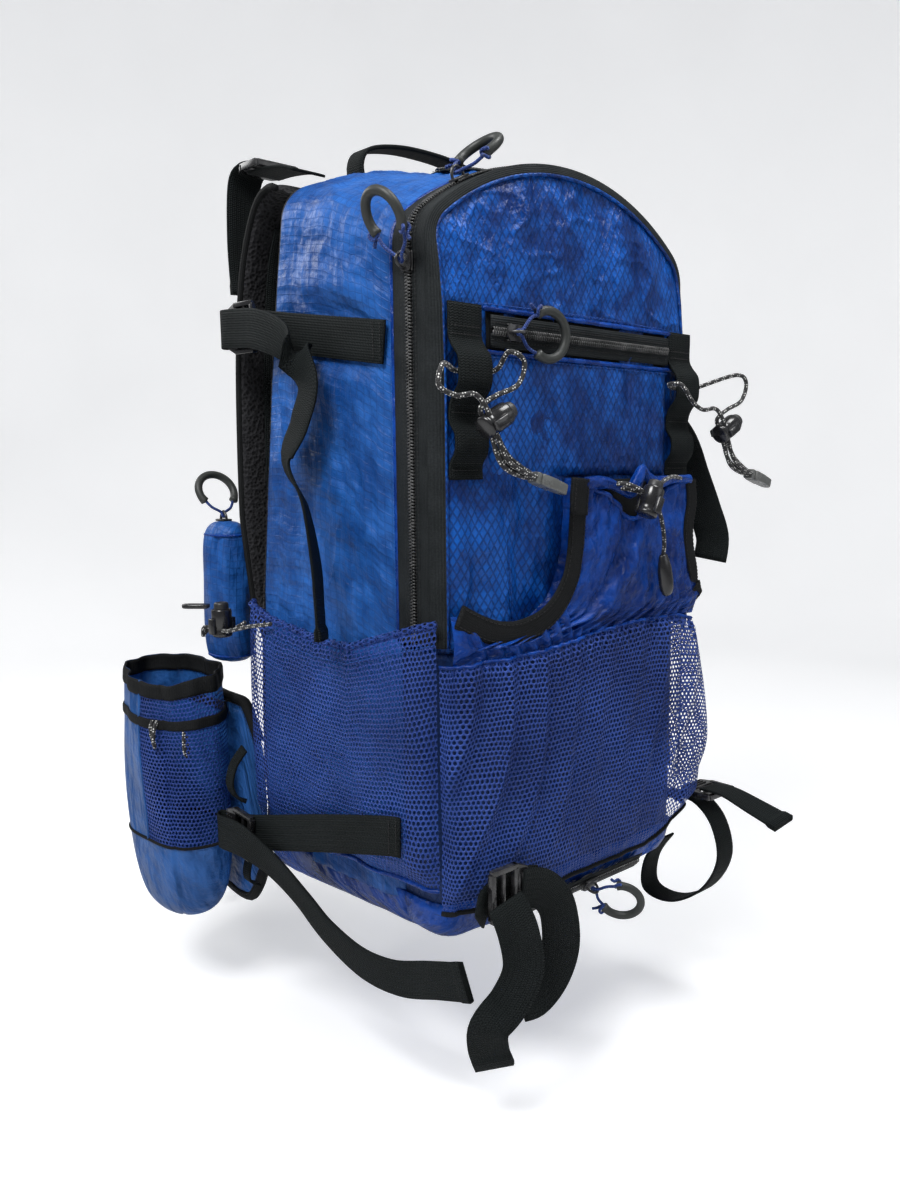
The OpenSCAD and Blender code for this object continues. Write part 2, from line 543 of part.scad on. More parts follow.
module webbing_loops() color(black) both() {
  band([[-119.5, 112, 388], [-124, 112, 389], [-127.4, 108, 390]],
    steps = 2, across = [0, 0, 1], w = 24);
  band([[-143, 108, 96, 0, 1, 0.1], [-150, 112, 84, 0, 1, 0.1], [-153, 113, 70],
    [-149, 112, 60], [-143, 108, 56]], steps = 2, across = [0, 1, 0], w = 10);
  band([[-131, 112.5, 16], [-140, 114, 8], [-142, 114, -6], [-134, 112.5, -12]],
    steps = 2, across = [0, 1, 0], w = 10);
}
module haul_loop() color(black) extrude_y(64, 18) strip(curve([[-56, 490], [-58, 503],
  [-51, 513.5], [-27, 519.5], [0, 521], [27, 519.5], [51, 513.5], [58, 503], [56, 490]]), 3);

// ---- hip belt ----
// Plan line of the left wing, columns x, y
belt_line = curve([[-119, 125], [-121, 150], [-118, 190], [-109, 235], [-92, 280],
  [-66, 312]]);
// Left wing seen from the side, columns y, z
wing_outline = curve([[116, -22], [122, -32], [150, -38], [210, -38], [262, -16], [316, 26],
  [330, 42], [330, 82], [322, 96], [300, 106], [200, 119], [150, 120], [122, 116],
  [116, 104]], 3);
module belt_wing_l() color(blue) intersection() {
  extrude_z(-40, 162) strip(belt_line, belt_t);
  extrude_x(-200, 200) polygon(wing_outline);
}
module belt_wing_r() mirrored() belt_wing_l();
// Oval pocket, open at the top
bottle_centre = [-155, 194];
module bottle_pocket_l() color(mesh_blue) difference() {
  extrude_z(-50, 196) oval(bottle_centre, 31, 54, 36);
  extrude_z(-48, 212) oval(bottle_centre, 29, 52, 36);
}
module bottle_pocket_r() mirrored() bottle_pocket_l();

// The belt hangs open: a strap and half a buckle at each side
buckle_x = 80;
buckle_y = 306.5;
buckle_z = -26;
buckle_turn = 51;
module belt_strap() band([for (z = [84, 50, 10, -24]) [-buckle_x, buckle_y, z]],
  steps = 2, across = [0.63, 0.78, 0]);
module belt_strap_l() color(black) belt_strap();
module belt_strap_r() color(black) mirrored() belt_strap();
// Buckle frame: width along x, mating ends towards -z; side is -1 left, +1 right
module at_buckle(side) translate([side*buckle_x, buckle_y, buckle_z])
  rotate([0, 0, -side*buckle_turn]) children();
module belt_socket() color(black) at_buckle(-1) difference() {
  union() {
    translate([-17, -5, -44]) cube([34, 10, 40]);
    translate([-15, -2.5, -8]) cube([30, 5, 7]);
  }
  translate([-13, -3, -45]) cube([26, 6, 34]);
  translate([-18, -3, -34]) cube([36, 6, 14]);
}
// Crossbar, centre prong and two side prongs with wider tips
module belt_plug() color(black) at_buckle(1) {
  translate([-15, -2.5, -12]) cube([30, 5, 10]);
  translate([-2, -2, -34]) cube([4, 4, 24]);
  for (s = [-1, 1]) translate([s*9 - 1.75, -2, -36]) cube([3.5, 4, 26]);
  for (s = [-1, 1]) translate([s*11 - 2.5, -2, -38]) cube([5, 4, 9]);
}

back_panel();
side_panels();
top_panel();
base_panel();
lower_front_panel();
frame_sheet();
hydration_sleeve();
back_pads();
main_zipper_bag_half();
front_mesh_pocket();
side_mesh_pockets();
side_pocket_cords();
side_pocket_locks();
side_button_l();
side_button_r();
shoulder_straps();
harness_webbing();
ladder_locks();
compression_straps();
bottom_straps();
webbing_loops();
base_pocket_zipper();
top_pocket_zipper();
zip_pouch();
front_panel();
front_pocket_panel();
front_pocket_zipper();
main_zipper_door_half();
stretch_pocket();
stretch_pocket_binding();
daisy_chains();
stretch_cord();
stretch_lock();
stretch_button();
haul_loop();
main_slider_l();
main_pull_l();
main_slider_r();
main_pull_r();
top_slider();
top_pull();
pocket_slider();
pocket_pull();
base_slider();
base_pull();
pouch_slider();
belt_wing_l();
belt_wing_r();
bottle_pocket_l();
bottle_pocket_r();
belt_strap_l();
belt_strap_r();
belt_socket();
belt_plug();
tool_cord_l();
tool_cord_r();
tool_lock_l();
tool_lock_r();
tool_button_l();
tool_button_r();
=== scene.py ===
"""A blue nylon backpack with a zipped front door, mesh pockets, straps and a hip belt.

The pack stands on z = 0, centred on x = 0. Its front faces -y, and the harness and the
belt are at +y. "Left" in a name is -x. Pieces are built in millimetres; the floor, the
lights and the camera are in metres.
"""
import json
import math

import bmesh
import bpy
import numpy as np
from mathutils import Matrix, Vector, noise

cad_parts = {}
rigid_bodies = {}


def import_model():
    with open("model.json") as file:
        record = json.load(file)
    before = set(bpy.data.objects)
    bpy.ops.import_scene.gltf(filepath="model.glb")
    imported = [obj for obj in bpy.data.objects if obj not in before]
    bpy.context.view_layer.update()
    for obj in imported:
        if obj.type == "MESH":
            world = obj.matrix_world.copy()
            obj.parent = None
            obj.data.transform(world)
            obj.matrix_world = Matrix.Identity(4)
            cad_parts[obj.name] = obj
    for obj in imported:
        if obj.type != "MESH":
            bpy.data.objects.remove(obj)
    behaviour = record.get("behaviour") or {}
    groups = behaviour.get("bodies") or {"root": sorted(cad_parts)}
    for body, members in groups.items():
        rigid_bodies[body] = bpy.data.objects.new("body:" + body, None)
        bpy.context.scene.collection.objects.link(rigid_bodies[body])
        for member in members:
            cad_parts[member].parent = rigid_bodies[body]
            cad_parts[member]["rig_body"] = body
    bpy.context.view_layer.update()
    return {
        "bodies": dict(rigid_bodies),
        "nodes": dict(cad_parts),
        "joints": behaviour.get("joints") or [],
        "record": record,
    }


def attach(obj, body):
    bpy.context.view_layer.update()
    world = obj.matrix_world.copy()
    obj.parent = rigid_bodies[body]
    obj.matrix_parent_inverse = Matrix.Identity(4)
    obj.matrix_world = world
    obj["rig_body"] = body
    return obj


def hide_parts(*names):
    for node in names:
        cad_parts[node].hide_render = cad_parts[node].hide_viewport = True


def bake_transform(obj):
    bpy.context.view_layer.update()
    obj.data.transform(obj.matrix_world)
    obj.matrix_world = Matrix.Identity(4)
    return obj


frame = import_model()
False  # a bare value, which does nothing

MILLIMETRE = 0.001
DOOR = "front_door"                            # the body that carries the door's pieces
SIDES = ((1, "left", "l"), (-1, "right", "r"))  # x factor, word, body ending


# ---------------------------------------------------------------- shader nodes
class Signal:
    """An output socket. Arithmetic on it adds Math nodes to its material."""

    def __init__(self, shader, socket):
        self.shader = shader
        self.socket = socket

    def math(self, operation, other=None):
        return self.shader.add("Math", enumerate((self, other)), operation=operation)

    def vector(self, operation, other):
        return self.shader.add("VectorMath", enumerate((self, other)), operation=operation)

    def __add__(self, other):
        return self.math("ADD", other)

    def __sub__(self, other):
        return self.math("SUBTRACT", other)

    def __mul__(self, other):
        return self.math("MULTIPLY", other)

    def __truediv__(self, other):
        return self.math("DIVIDE", other)

    def __abs__(self):
        return self.math("ABSOLUTE")

    def sine(self):
        return self.math("SINE")

    def fract(self):
        return self.math("FRACT")

    def scaled(self, factor):
        return self.shader.add("VectorMath", {0: self, "Scale": factor}, operation="SCALE")

    def axes(self):
        return [self.shader.add("SeparateXYZ", {0: self}, output=k) for k in range(3)]

    def ramp(self, from_low, from_high, to_low=0.0, to_high=1.0):
        return self.shader.add("MapRange", enumerate((self, from_low, from_high, to_low, to_high)),
                               interpolation_type="SMOOTHSTEP")

    def mix(self, low, high):
        """A colour that goes from low to high with this signal."""
        return self.shader.add("Mix", {0: self, 6: low, 7: high}, output=2, data_type="RGBA")

    def bump(self, strength, distance, normal=None):
        return self.shader.add("Bump", {"Strength": strength, "Distance": distance,
                                        "Height": self, "Normal": normal})


class Shader:
    """Builds the nodes of one material."""

    def __init__(self, name):
        self.material = bpy.data.materials.new(name)
        self.material.use_nodes = True
        self.tree = self.material.node_tree
        self.tree.nodes.clear()
        self.output = self.tree.nodes.new("ShaderNodeOutputMaterial")

    def add(self, kind, inputs=(), output=0, **settings):
        """Add a node and return one output. An input given as None is left alone."""
        node = self.tree.nodes.new("ShaderNode" + kind)
        for key, value in settings.items():
            setattr(node, key, value)
        for key, value in dict(inputs).items():
            self.put(node.inputs[key], value)
        return Signal(self, node.outputs[output])

    def put(self, socket, value):
        if isinstance(value, Signal):
            self.tree.links.new(value.socket, socket)
        elif value is not None:
            if hasattr(value, "__len__") and len(socket.default_value) == 4:
                value = (*value, 1)
            socket.default_value = value

    def uv(self):
        """UV coordinates in millimetres."""
        return self.add("TexCoord", output="UV").scaled(1000.0)

    def place(self, factor=1000.0):
        """Object coordinates, in millimetres by default."""
        return self.add("TexCoord", output="Object").scaled(factor)

    def combine(self, x, y):
        return self.add("CombineXYZ", {0: x, 1: y})

    def noise(self, vector, scale=1.0, detail=3.0, rough=0.5, output="Fac"):
        return self.add("TexNoise", {"Vector": vector, "Scale": scale, "Detail": detail,
                                     "Roughness": rough}, output=output)

    def wavy(self, vector, frequency, amount):
        """x and y of a pattern that isn't ruler straight."""
        colour = self.noise(vector.scaled(frequency), detail=2.0, output="Color")
        wobble = colour.vector("SUBTRACT", (0.5, 0.5, 0.5)).scaled(amount)
        parts = self.add_separate(vector.vector("ADD", wobble))
        return parts[0], parts[1]

    def add_separate(self, vector):
        """The three outputs of one Separate XYZ node."""
        first = self.add("SeparateXYZ", {0: vector})
        return [Signal(self, socket) for socket in first.socket.node.outputs]

    def surface(self, colour, rough, normal, spec, sheen=0.0, tint=None):
        return self.add("BsdfPrincipled", {
            "Base Color": colour, "Roughness": rough, "Normal": normal,
            "Specular IOR Level": spec, "Sheen Weight": sheen, "Sheen Roughness": 0.4,
            "Sheen Tint": tint})

    def finish(self, surface):
        self.tree.links.new(surface.socket, self.output.inputs[0])
        return self.material


del Signal.axes  # one node per vector: Shader.add_separate


# ---------------------------------------------------------------- materials
def grid_line(position, period, width):
    """1 on a line of the given width every period, 0 elsewhere, in millimetres."""
    offset = abs((position/period).fract() - 0.5)
    return offset.ramp(0.5 - width/period, 0.5 - 0.35*width/period)


def nylon(name, base, high, grid, kind, line, rough, wrinkle, lines):
    """Ripstop cloth. lines: how dark the grid is, wrinkle: how strong the folds are."""
    shader = Shader(name)
    cloth = shader.uv()
    x, y = shader.wavy(cloth, frequency=0.02, amount=3.0)
    if kind == "diamond":
        pair = (x*0.83 + y*0.56, x*0.83 - y*0.56)
    else:
        pair = (x, y)
    if kind == "plain":
        ripstop = x*0.0
    else:
        ripstop = grid_line(pair[0], grid, line).math("MAXIMUM", grid_line(pair[1], grid, line))
    weave = (x*9.0).sine()*(y*9.0).sine()
    patches = shader.noise(cloth.scaled(0.012), rough=0.55)
    crinkle = shader.noise(cloth.scaled(0.06), detail=4.0, rough=0.62)
    # painted highlight: long streaks coloured lighter, for the satin sheen
    sheen_streak = shader.noise(shader.combine(x*0.5, y*0.02))
    colour = (patches*0.55 + crinkle*0.45).ramp(0.40, 0.62).mix(base, high)
    colour = (sheen_streak.ramp(0.45, 0.8)*0.35).mix(colour, high)
    colour = (ripstop*lines).mix(colour, [c*0.55 for c in base])
    fold = shader.noise(shader.combine(x*0.035, y*0.014))
    normal = fold.bump(0.8*wrinkle, 0.016)
    normal = crinkle.bump(0.42*wrinkle, 0.006, normal)
    normal = (ripstop*0.55 + weave*0.08).bump(0.45, 0.0006, normal)
    gloss = (crinkle*0.7 + ripstop*0.3).ramp(0.2, 0.9, rough - 0.07, rough + 0.14)
    return shader.finish(shader.surface(colour, gloss, normal, spec=0.23, sheen=0.01,
                                        tint=(0.25, 0.5, 1.0)))


def mesh_fabric(name, base, high, period, hole):
    """Cloth with see-through round holes in a triangular lattice."""
    root3 = 1.7320508
    shader = Shader(name)
    cloth = shader.uv()
    x, y = shader.wavy(cloth, frequency=0.03, amount=5.0)
    x = x/period
    y = y/(period*1.18)

    def hole_distance(shift_x, shift_y):
        across = (x + shift_x).fract() - 0.5
        up = (((y + shift_y)/root3).fract() - 0.5)*root3
        return (across*across + up*up).math("SQRT")

    distance = hole_distance(0.0, 0.0).math("MINIMUM", hole_distance(0.5, root3/2))
    mask = distance.ramp(hole - 0.03, hole + 0.03)  # 0 inside a hole
    patches = shader.noise(cloth.scaled(0.015))
    fibre = shader.noise(cloth.scaled(1.6))
    colour = patches.ramp(0.3, 0.7).mix(base, high)
    colour = (fibre*0.5).mix(colour, high)
    normal = (distance.ramp(hole, 0.56) + fibre*0.3).bump(0.7, 0.0009)
    thread = shader.surface(colour, 0.55, normal, spec=0.28)
    clear = shader.add("BsdfTransparent")
    return shader.finish(shader.add("MixShader", enumerate((mask, clear, thread))))


def webbing(name, base, high, pitch, strength):
    """Woven strap: x runs across it, y along it."""
    shader = Shader(name)
    cloth = shader.uv()
    x, y = shader.add_separate(cloth)[:2]
    zigzag = abs((x/3.2).fract() - 0.5)*1.6
    ribs = ((y + zigzag)*(2*math.pi/pitch)).sine()
    columns = (x*(2*math.pi/1.6)).sine()
    height = ribs*0.5 + columns*0.35
    fibre = shader.noise(cloth.scaled(1.2), detail=4.0)
    patches = shader.noise(cloth.scaled(0.03), detail=2.0)
    # painted highlight: rib tops are coloured lighter than the grooves, mixed with random fibre
    # tone
    light = height.ramp(-0.5, 0.85)*0.55 + fibre*0.5
    colour = (light*patches.ramp(0.2, 0.8, 0.5, 1.0)).mix(base, high)
    return shader.finish(shader.surface(colour, 0.66, height.bump(strength, 0.0005), spec=0.10))


def plastic(name, base, rough, spec=0.5, grain=0.08, wear=(0.09, 0.09, 0.09)):
    """Hard plastic or enamel, paler on worn edges."""
    shader = Shader(name)
    place = shader.place()
    fine = shader.noise(place, 1.4, detail=4.0, rough=0.6)
    coarse = shader.noise(place, 0.09)
    edge = shader.add("NewGeometry", output="Pointiness").ramp(0.53, 0.62)
    colour = (edge*coarse.ramp(0.35, 0.7)).mix(base, wear)
    gloss = (coarse*0.7 + fine*0.3).ramp(0.25, 0.75, rough - 0.07, rough + 0.12)
    return shader.finish(shader.surface(colour, gloss, fine.bump(grain, 0.0004), spec=spec))


def zip_tape(name, base, high):
    shader = Shader(name)
    cloth = shader.uv()
    x, y = shader.add_separate(cloth)[:2]
    twill = ((x + y)*6.5).sine()
    rib = (x*4.5).sine()
    fibre = shader.noise(cloth.scaled(1.0), detail=4.0)
    patches = shader.noise(cloth.scaled(0.05))
    colour = (fibre*0.55 + patches*0.45).ramp(0.3, 0.75).mix(base, high)
    return shader.finish(shader.surface(colour, 0.72, (twill*0.4 + rib).bump(0.5, 0.0003),
                                        spec=0.16))


def braided_cord(name, base, fleck):
    """Braid: x runs round the cord, y along it. Half of the strands are flecked."""
    shader = Shader(name)
    x, y = shader.add_separate(shader.uv())[:2]
    right = y + x*0.9
    left = y - x*0.9
    braid = (right*(2*math.pi/3.4)).sine()*(left*(2*math.pi/3.4)).sine()
    flecked = (right/6.8).fract().math("GREATER_THAN", 0.5)
    colour = (braid.ramp(0.25, 0.55)*flecked).mix(base, fleck)
    return shader.finish(shader.surface(colour, 0.6, abs(braid).bump(0.6, 0.0005), spec=0.4,
                                        sheen=0.2))


def spacer_mesh(name, base, high):
    shader = Shader(name)
    place = shader.place()
    cell = shader.add("TexVoronoi", {"Vector": place, "Scale": 0.42}, output="Distance")
    patches = shader.noise(place, 0.02)
    colour = cell.ramp(0.15, 0.6).mix(base, high)
    colour = (patches*0.4).mix(colour, base)
    return shader.finish(shader.surface(colour, 0.8, cell.bump(0.9, 0.0012), spec=0.2,
                                        sheen=0.06))


FINISHES = dict(
    front=("blue_nylon", nylon(
        "nylon_front", (0.001, 0.024, 0.150), (0.005, 0.108, 0.50), grid=4.6, kind="diamond",
        line=0.85, rough=0.36, wrinkle=1.0, lines=0.6)),
    side=("blue_nylon", nylon(
        "nylon_side", (0.005, 0.048, 0.21), (0.018, 0.115, 0.42), grid=5.2, kind="grid",
        line=0.5, rough=0.40, wrinkle=0.8, lines=0.30)),
    taffeta=("blue_nylon", nylon(
        "nylon_taffeta", (0.001, 0.018, 0.135), (0.004, 0.062, 0.36), grid=4.0, kind="plain",
        line=0.4, rough=0.32, wrinkle=1.3, lines=0.0)),
    belt=("blue_nylon", nylon(
        "nylon_belt", (0.010, 0.062, 0.22), (0.028, 0.12, 0.38), grid=4.0, kind="plain",
        line=0.4, rough=0.45, wrinkle=1.2, lines=0.0)),
    # painted shade: a darker copy of the blue nylon, for the cloth in shadow behind the front mesh
    painted_shade_navy=("blue_nylon", nylon(
        "nylon_shaded", (0.003, 0.018, 0.085), (0.006, 0.032, 0.13), grid=4.4, kind="diamond",
        line=0.5, rough=0.55, wrinkle=1.0, lines=0.3)),
    mesh=("blue_mesh", mesh_fabric(
        "pocket_mesh", (0.006, 0.024, 0.155), (0.030, 0.080, 0.37), period=3.0, hole=0.33)),
    web=("webbing", webbing(
        "webbing_black", (0.006, 0.0075, 0.0075), (0.018, 0.023, 0.024), pitch=1.5,
        strength=0.9)),
    bind=("binding_tape", webbing(
        "binding_black", (0.006, 0.0065, 0.007), (0.020, 0.021, 0.022), pitch=1.1,
        strength=0.5)),
    tape=("zipper_tape", zip_tape(
        "zipper_tape", (0.007, 0.009, 0.010), (0.025, 0.029, 0.031))),
    coil=("zipper_tape", plastic(
        "zipper_coil", (0.014, 0.015, 0.015), rough=0.38, spec=0.45, grain=0.05)),
    cord=("elastic_cord", braided_cord(
        "elastic_cord", (0.02, 0.02, 0.021), (0.80, 0.80, 0.77))),
    bluecord=("pull_rubber", braided_cord(
        "pull_cord", (0.006, 0.03, 0.17), (0.03, 0.09, 0.36))),
    rubber=("pull_rubber", plastic(
        "pull_rubber", (0.030, 0.033, 0.031), rough=0.45, spec=0.4, grain=0.15,
        wear=(0.07, 0.075, 0.07))),
    gloss=("black_plastic", plastic(
        "plastic_gloss", (0.012, 0.012, 0.013), rough=0.2, spec=0.6, grain=0.03,
        wear=(0.05, 0.05, 0.052))),
    hook=("black_plastic", plastic(
        "plastic_worn_grey", (0.13, 0.135, 0.13), rough=0.24, spec=0.6, grain=0.05,
        wear=(0.3, 0.3, 0.3))),
    matte=("black_plastic", plastic(
        "plastic_matte", (0.022, 0.022, 0.023), rough=0.42, grain=0.12,
        wear=(0.07, 0.07, 0.07))),
    metal=("slider_metal", plastic(
        "slider_enamel", (0.02, 0.02, 0.021), rough=0.3, spec=0.6, grain=0.05,
        wear=(0.2, 0.2, 0.2))),
    spacer=("spacer_mesh", spacer_mesh(
        "spacer_mesh", (0.006, 0.006, 0.007), (0.026, 0.026, 0.029))),
    lining=("lining", nylon(
        "lining_grey", (0.07, 0.075, 0.085), (0.11, 0.12, 0.14), grid=3.0, kind="grid",
        line=0.3, rough=0.5, wrinkle=0.8, lines=0.2)),
    thread=("webbing", plastic(
        "thread_black", (0.014, 0.014, 0.015), rough=0.5, spec=0.3, grain=0.2)),
    thread_blue=("blue_nylon", plastic(
        "thread_blue", (0.012, 0.07, 0.32), rough=0.5, spec=0.3, grain=0.2)),
    sheet=("frame_plastic", plastic(
        "frame_sheet_pe", (0.05, 0.05, 0.052), rough=0.45, spec=0.4, grain=0.3)),
)


# ---------------------------------------------------------------- points and curves
def coords(*axes):
    """Points, or UVs, from coordinates whose shapes broadcast together."""
    return np.stack(np.broadcast_arrays(*axes), -1).astype(float)


def rows(count):
    """0 to 1 as a column, one value for each row of a grid."""
    return np.linspace(0, 1, count)[:, None]


def travelled(grid, axis=0):
    """Length along a path, or along each line of a grid, from its start."""
    gaps = np.linalg.norm(np.diff(grid, axis=axis), axis=-1)
    return np.insert(np.cumsum(gaps, axis=axis), 0, 0, axis=axis)


def along(path, lengths, distance):
    return np.stack([np.interp(distance, lengths, column) for column in path.T], -1)


def resample(path, count=None, step=None):
    path = np.asarray(path, float)
    lengths = travelled(path)
    count = count or max(2, int(round(lengths[-1]/step)) + 1)
    return along(path, lengths, np.linspace(0, lengths[-1], count))


def spline(controls, per_span=8):
    """Catmull-Rom curve through the control points."""
    controls = np.asarray(controls, float)
    last = len(controls) - 1
    curve = []
    for i in range(last):
        before, start, end, after = controls[[max(0, i - 1), i, i + 1, min(last, i + 2)]]
        for k in range(per_span):
            t = k/per_span
            curve.append(0.5*(2*start + (end - before)*t
                              + (2*before - 5*start + 4*end - after)*t*t
                              + (3*start - before - 3*end + after)*t**3))
    curve.append(controls[-1])
    return np.array(curve)


def mirrored(half):
    """A half outline and its reflection in x = 0. A point on the axis isn't repeated."""
    return half + [(-x, *rest) for x, *rest in reversed(half) if x]


def unit(vector):
    vector = np.asarray(vector, float)
    return vector/np.maximum(np.linalg.norm(vector, axis=-1, keepdims=True), 1e-9)


def tangents(path):
    return unit(np.gradient(path, axis=0))


def left_of(path):
    """Directions to the left of a plane path."""
    along_path = tangents(path)
    return coords(-along_path[:, 1], along_path[:, 0])


def smooth(value, low, high):
    t = np.clip((value - low)/(high - low), 0, 1)
    return t*t*(3 - 2*t)


def from_ends(share, width):
    """0 at both ends of a 0-to-1 run, 1 from the given width inwards."""
    return np.minimum(1, np.minimum(share, 1 - share)/width)


def ripple(points, frequency, seed, octaves=2):
    """Smooth noise at each point, with frequencies in 1/mm."""
    spots = points*frequency + (seed, seed*1.7, -seed)
    levels = []
    for spot in spots.reshape(-1, 3):
        spot = Vector(spot)
        level = noise.noise(spot)
        if octaves > 1:
            level += 0.5*noise.noise(spot*2.1 + Vector((3, 1, 7)))
        levels.append(level)
    return np.reshape(levels, points.shape[:-1])


def crease(points, frequency, seed, sharp=5.0):
    """Thin raised creases, as in cloth that has been folded away."""
    spots = points*frequency + (seed, seed*1.3, -seed)
    levels = []
    for spot in spots.reshape(-1, 3):
        spot = Vector(spot)
        weight = 0.5 + noise.noise(spot*0.6 + Vector((9, 4, 2)))
        levels.append((1 - min(1.0, abs(noise.noise(spot))*2.4))**sharp*weight)
    return np.reshape(levels, points.shape[:-1])


def move(x, y, z):
    return Matrix.Translation((x, y, z))


def turn(x, y, z):
    """Rotation by degrees about x, then y, then z."""
    about_x = Matrix.Rotation(math.radians(x), 4, "X")
    about_y = Matrix.Rotation(math.radians(y), 4, "Y")
    return Matrix.Rotation(math.radians(z), 4, "Z") @ about_y @ about_x


def mirror(side):
    return Matrix.Diagonal((side, 1, 1, 1))


def place(matrix, points):
    matrix = np.array(matrix)
    return np.asarray(points, float) @ matrix[:3, :3].T + matrix[:3, 3]


# ---------------------------------------------------------------- meshes
def on_left(side, *nodes):
    """The replaced nodes, told once for a mirrored pair."""
    return nodes if side > 0 else ()


def link_object(name, mesh, material):
    mesh.materials.append(material)
    mesh.polygons.foreach_set("use_smooth", [True]*len(mesh.polygons))
    made = bpy.data.objects.new(name, mesh)
    bpy.context.scene.collection.objects.link(made)
    return made


def register(made, body, replaces):
    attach(made, body)
    if replaces:
        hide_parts(*replaces)


def metre_object(name, verts, faces, material, uvs=None):
    mesh = bpy.data.meshes.new(name)
    mesh.from_pydata(np.asarray(verts).tolist(), [], faces)
    if uvs is not None:
        layer = mesh.uv_layers.new(name="UVMap")
        corners = np.zeros(len(mesh.loops), dtype=np.int64)
        mesh.loops.foreach_get("vertex_index", corners)
        layer.data.foreach_set("uv", uvs[corners].astype(np.float32).ravel())
    mesh.validate()
    mesh.update()
    return link_object(name, mesh, material)


def piece(name, verts, faces, finish, body="root", uvs=None, replaces=()):
    """A mesh from vertices and per-vertex UVs in millimetres."""
    verts = np.asarray(verts, float).reshape(-1, 3)*MILLIMETRE
    if uvs is not None:
        uvs = np.asarray(uvs, float).reshape(-1, 2)*MILLIMETRE
    made = metre_object(name, verts, faces, FINISHES[finish][1], uvs)
    register(made, body, replaces)
    return made


def tidy(made, merge=False):
    bm = bmesh.new()
    bm.from_mesh(made.data)
    if merge:
        bmesh.ops.remove_doubles(bm, verts=bm.verts, dist=1e-6)
    bmesh.ops.recalc_face_normals(bm, faces=bm.faces)
    bm.to_mesh(made.data)
    bm.free()


def grid_faces(across, count, wrap=False, offset=0):
    faces = []
    for i in range(count - 1):
        for j in range(across if wrap else across - 1):
            here = offset + i*across + j
            beside = offset + i*across + (j + 1) % across
            faces.append((here, beside, beside + across, here + across))
    return faces


def end_faces(around, count, offset=0):
    last = offset + (count - 1)*around
    return [tuple(range(offset + around - 1, offset - 1, -1)),
            tuple(range(last, last + around))]


def loft_faces(around, count, offset=0):
    return grid_faces(around, count, True, offset) + end_faces(around, count, offset)


def even_uv(grid):
    """UVs that are the same in every row and column, so that a lattice stays regular."""
    middle = travelled(grid, axis=1)[grid.shape[0]//2]
    return coords(middle - middle[len(middle)//2], travelled(grid).mean(axis=1)[:, None])


def sheet(name, grid, finish, body="root", thick=0, uv=None, replaces=(), flip=False):
    """Cloth over a grid of points, thickened on its inner side."""
    grid = np.asarray(grid, float)
    count, across = grid.shape[:2]
    if uv is None:
        widths = travelled(grid, axis=1)
        uv = coords(widths - widths[:, across//2][:, None], travelled(grid))
    faces = grid_faces(across, count)
    if flip:
        faces = [face[::-1] for face in faces]
    made = piece(name, grid, faces, finish, body, uv, replaces)
    if thick:
        modifier = made.modifiers.new("thick", "SOLIDIFY")
        modifier.thickness = thick*MILLIMETRE
        modifier.offset = -1
    return made


def loft(name, rings, finish, body="root", replaces=(), uv=None):
    """A closed skin over rings, with flat ends."""
    count, around = rings.shape[:2]
    if uv is None:
        uv = coords(travelled(rings, axis=1), travelled(rings[:, 0])[:, None])
    tidy(piece(name, rings, loft_faces(around, count), finish, body, uv, replaces))


def tube(name, path, radius, finish, body="root", around=12, replaces=(), capped=True,
         radii=None):
    """A round tube. radii vary it along the path; the UVs keep the one radius."""
    path = np.asarray(path, float)
    forward = tangents(path)
    count = len(path)
    start = (0.13, 1, 0.21) if abs(forward[0][1]) < 0.9 else (1, 0.1, 0.2)
    sideways = np.zeros_like(path)
    sideways[0] = unit(np.cross(forward[0], start))
    for i in range(1, count):
        before = sideways[i - 1]
        sideways[i] = unit(before - (before @ forward[i])*forward[i])
    upward = np.cross(forward, sideways)
    if radii is None:
        radii = np.full(count, radius)
    angle = 2*math.pi*np.arange(around + 1)/around
    ring = (sideways[:, None]*np.cos(angle)[:, None] + upward[:, None]*np.sin(angle)[:, None])
    verts = list((path[:, None] + radii[:, None, None]*ring).reshape(-1, 3))
    uvs = list(coords(radius*angle, travelled(path)[:, None]).reshape(-1, 2))
    faces = grid_faces(around + 1, count)
    if capped:
        for i, sign in ((0, 1), (count - 1, -1)):
            centre = len(verts)
            verts.append(path[i] - forward[i]*sign*radii[i]*0.35)
            uvs.append((0, 0))
            for j in range(around):
                here = i*(around + 1) + j
                faces.append((centre, here + 1, here) if sign > 0 else (centre, here, here + 1))
    tidy(piece(name, verts, faces, finish, body, uvs, replaces), merge=True)


def strap(name, path, across, width=25.4, thick=1.8, body="root", replaces=(), step=3.0,
          fold=0.0):
    """Webbing along a path. across: its width direction, one or one for each point.

    The last fold millimetres are doubled over.
    """
    path = np.asarray(path, float)
    across = spline(np.broadcast_to(across, path.shape))
    path = spline(path)
    lengths = travelled(path)
    spots = np.linspace(0, lengths[-1], max(4, int(lengths[-1]/step)))
    path, across = along(path, lengths, spots), along(across, lengths, spots)
    forward = tangents(path)
    across = unit(across - np.sum(across*forward, axis=1, keepdims=True)*forward)
    outward = np.cross(forward, across)
    # section: across and up as shares of width and thickness, thin at both edges
    near_edge = 0.5 - 0.5/width
    top = [(-0.5, 0.22), (-near_edge, 0.5), (-0.25, 0.5), (0, 0.5), (0.25, 0.5),
           (near_edge, 0.5), (0.5, 0.22)]
    x, z = np.array(top + [(a, -b) for a, b in reversed(top)]).T
    lengths = travelled(path)
    depth = np.full(len(path), thick)
    if fold:
        depth = np.where(lengths > lengths[-1] - fold, thick*2.6, thick)
    rings = (path[:, None] + across[:, None]*(x*width)[:, None]
             + outward[:, None]*z[:, None]*depth[:, None, None])
    uv = coords(x*width + np.where(z > 0, 0, 40), lengths[:, None])
    loft(name, rings, "web", body, replaces, uv)


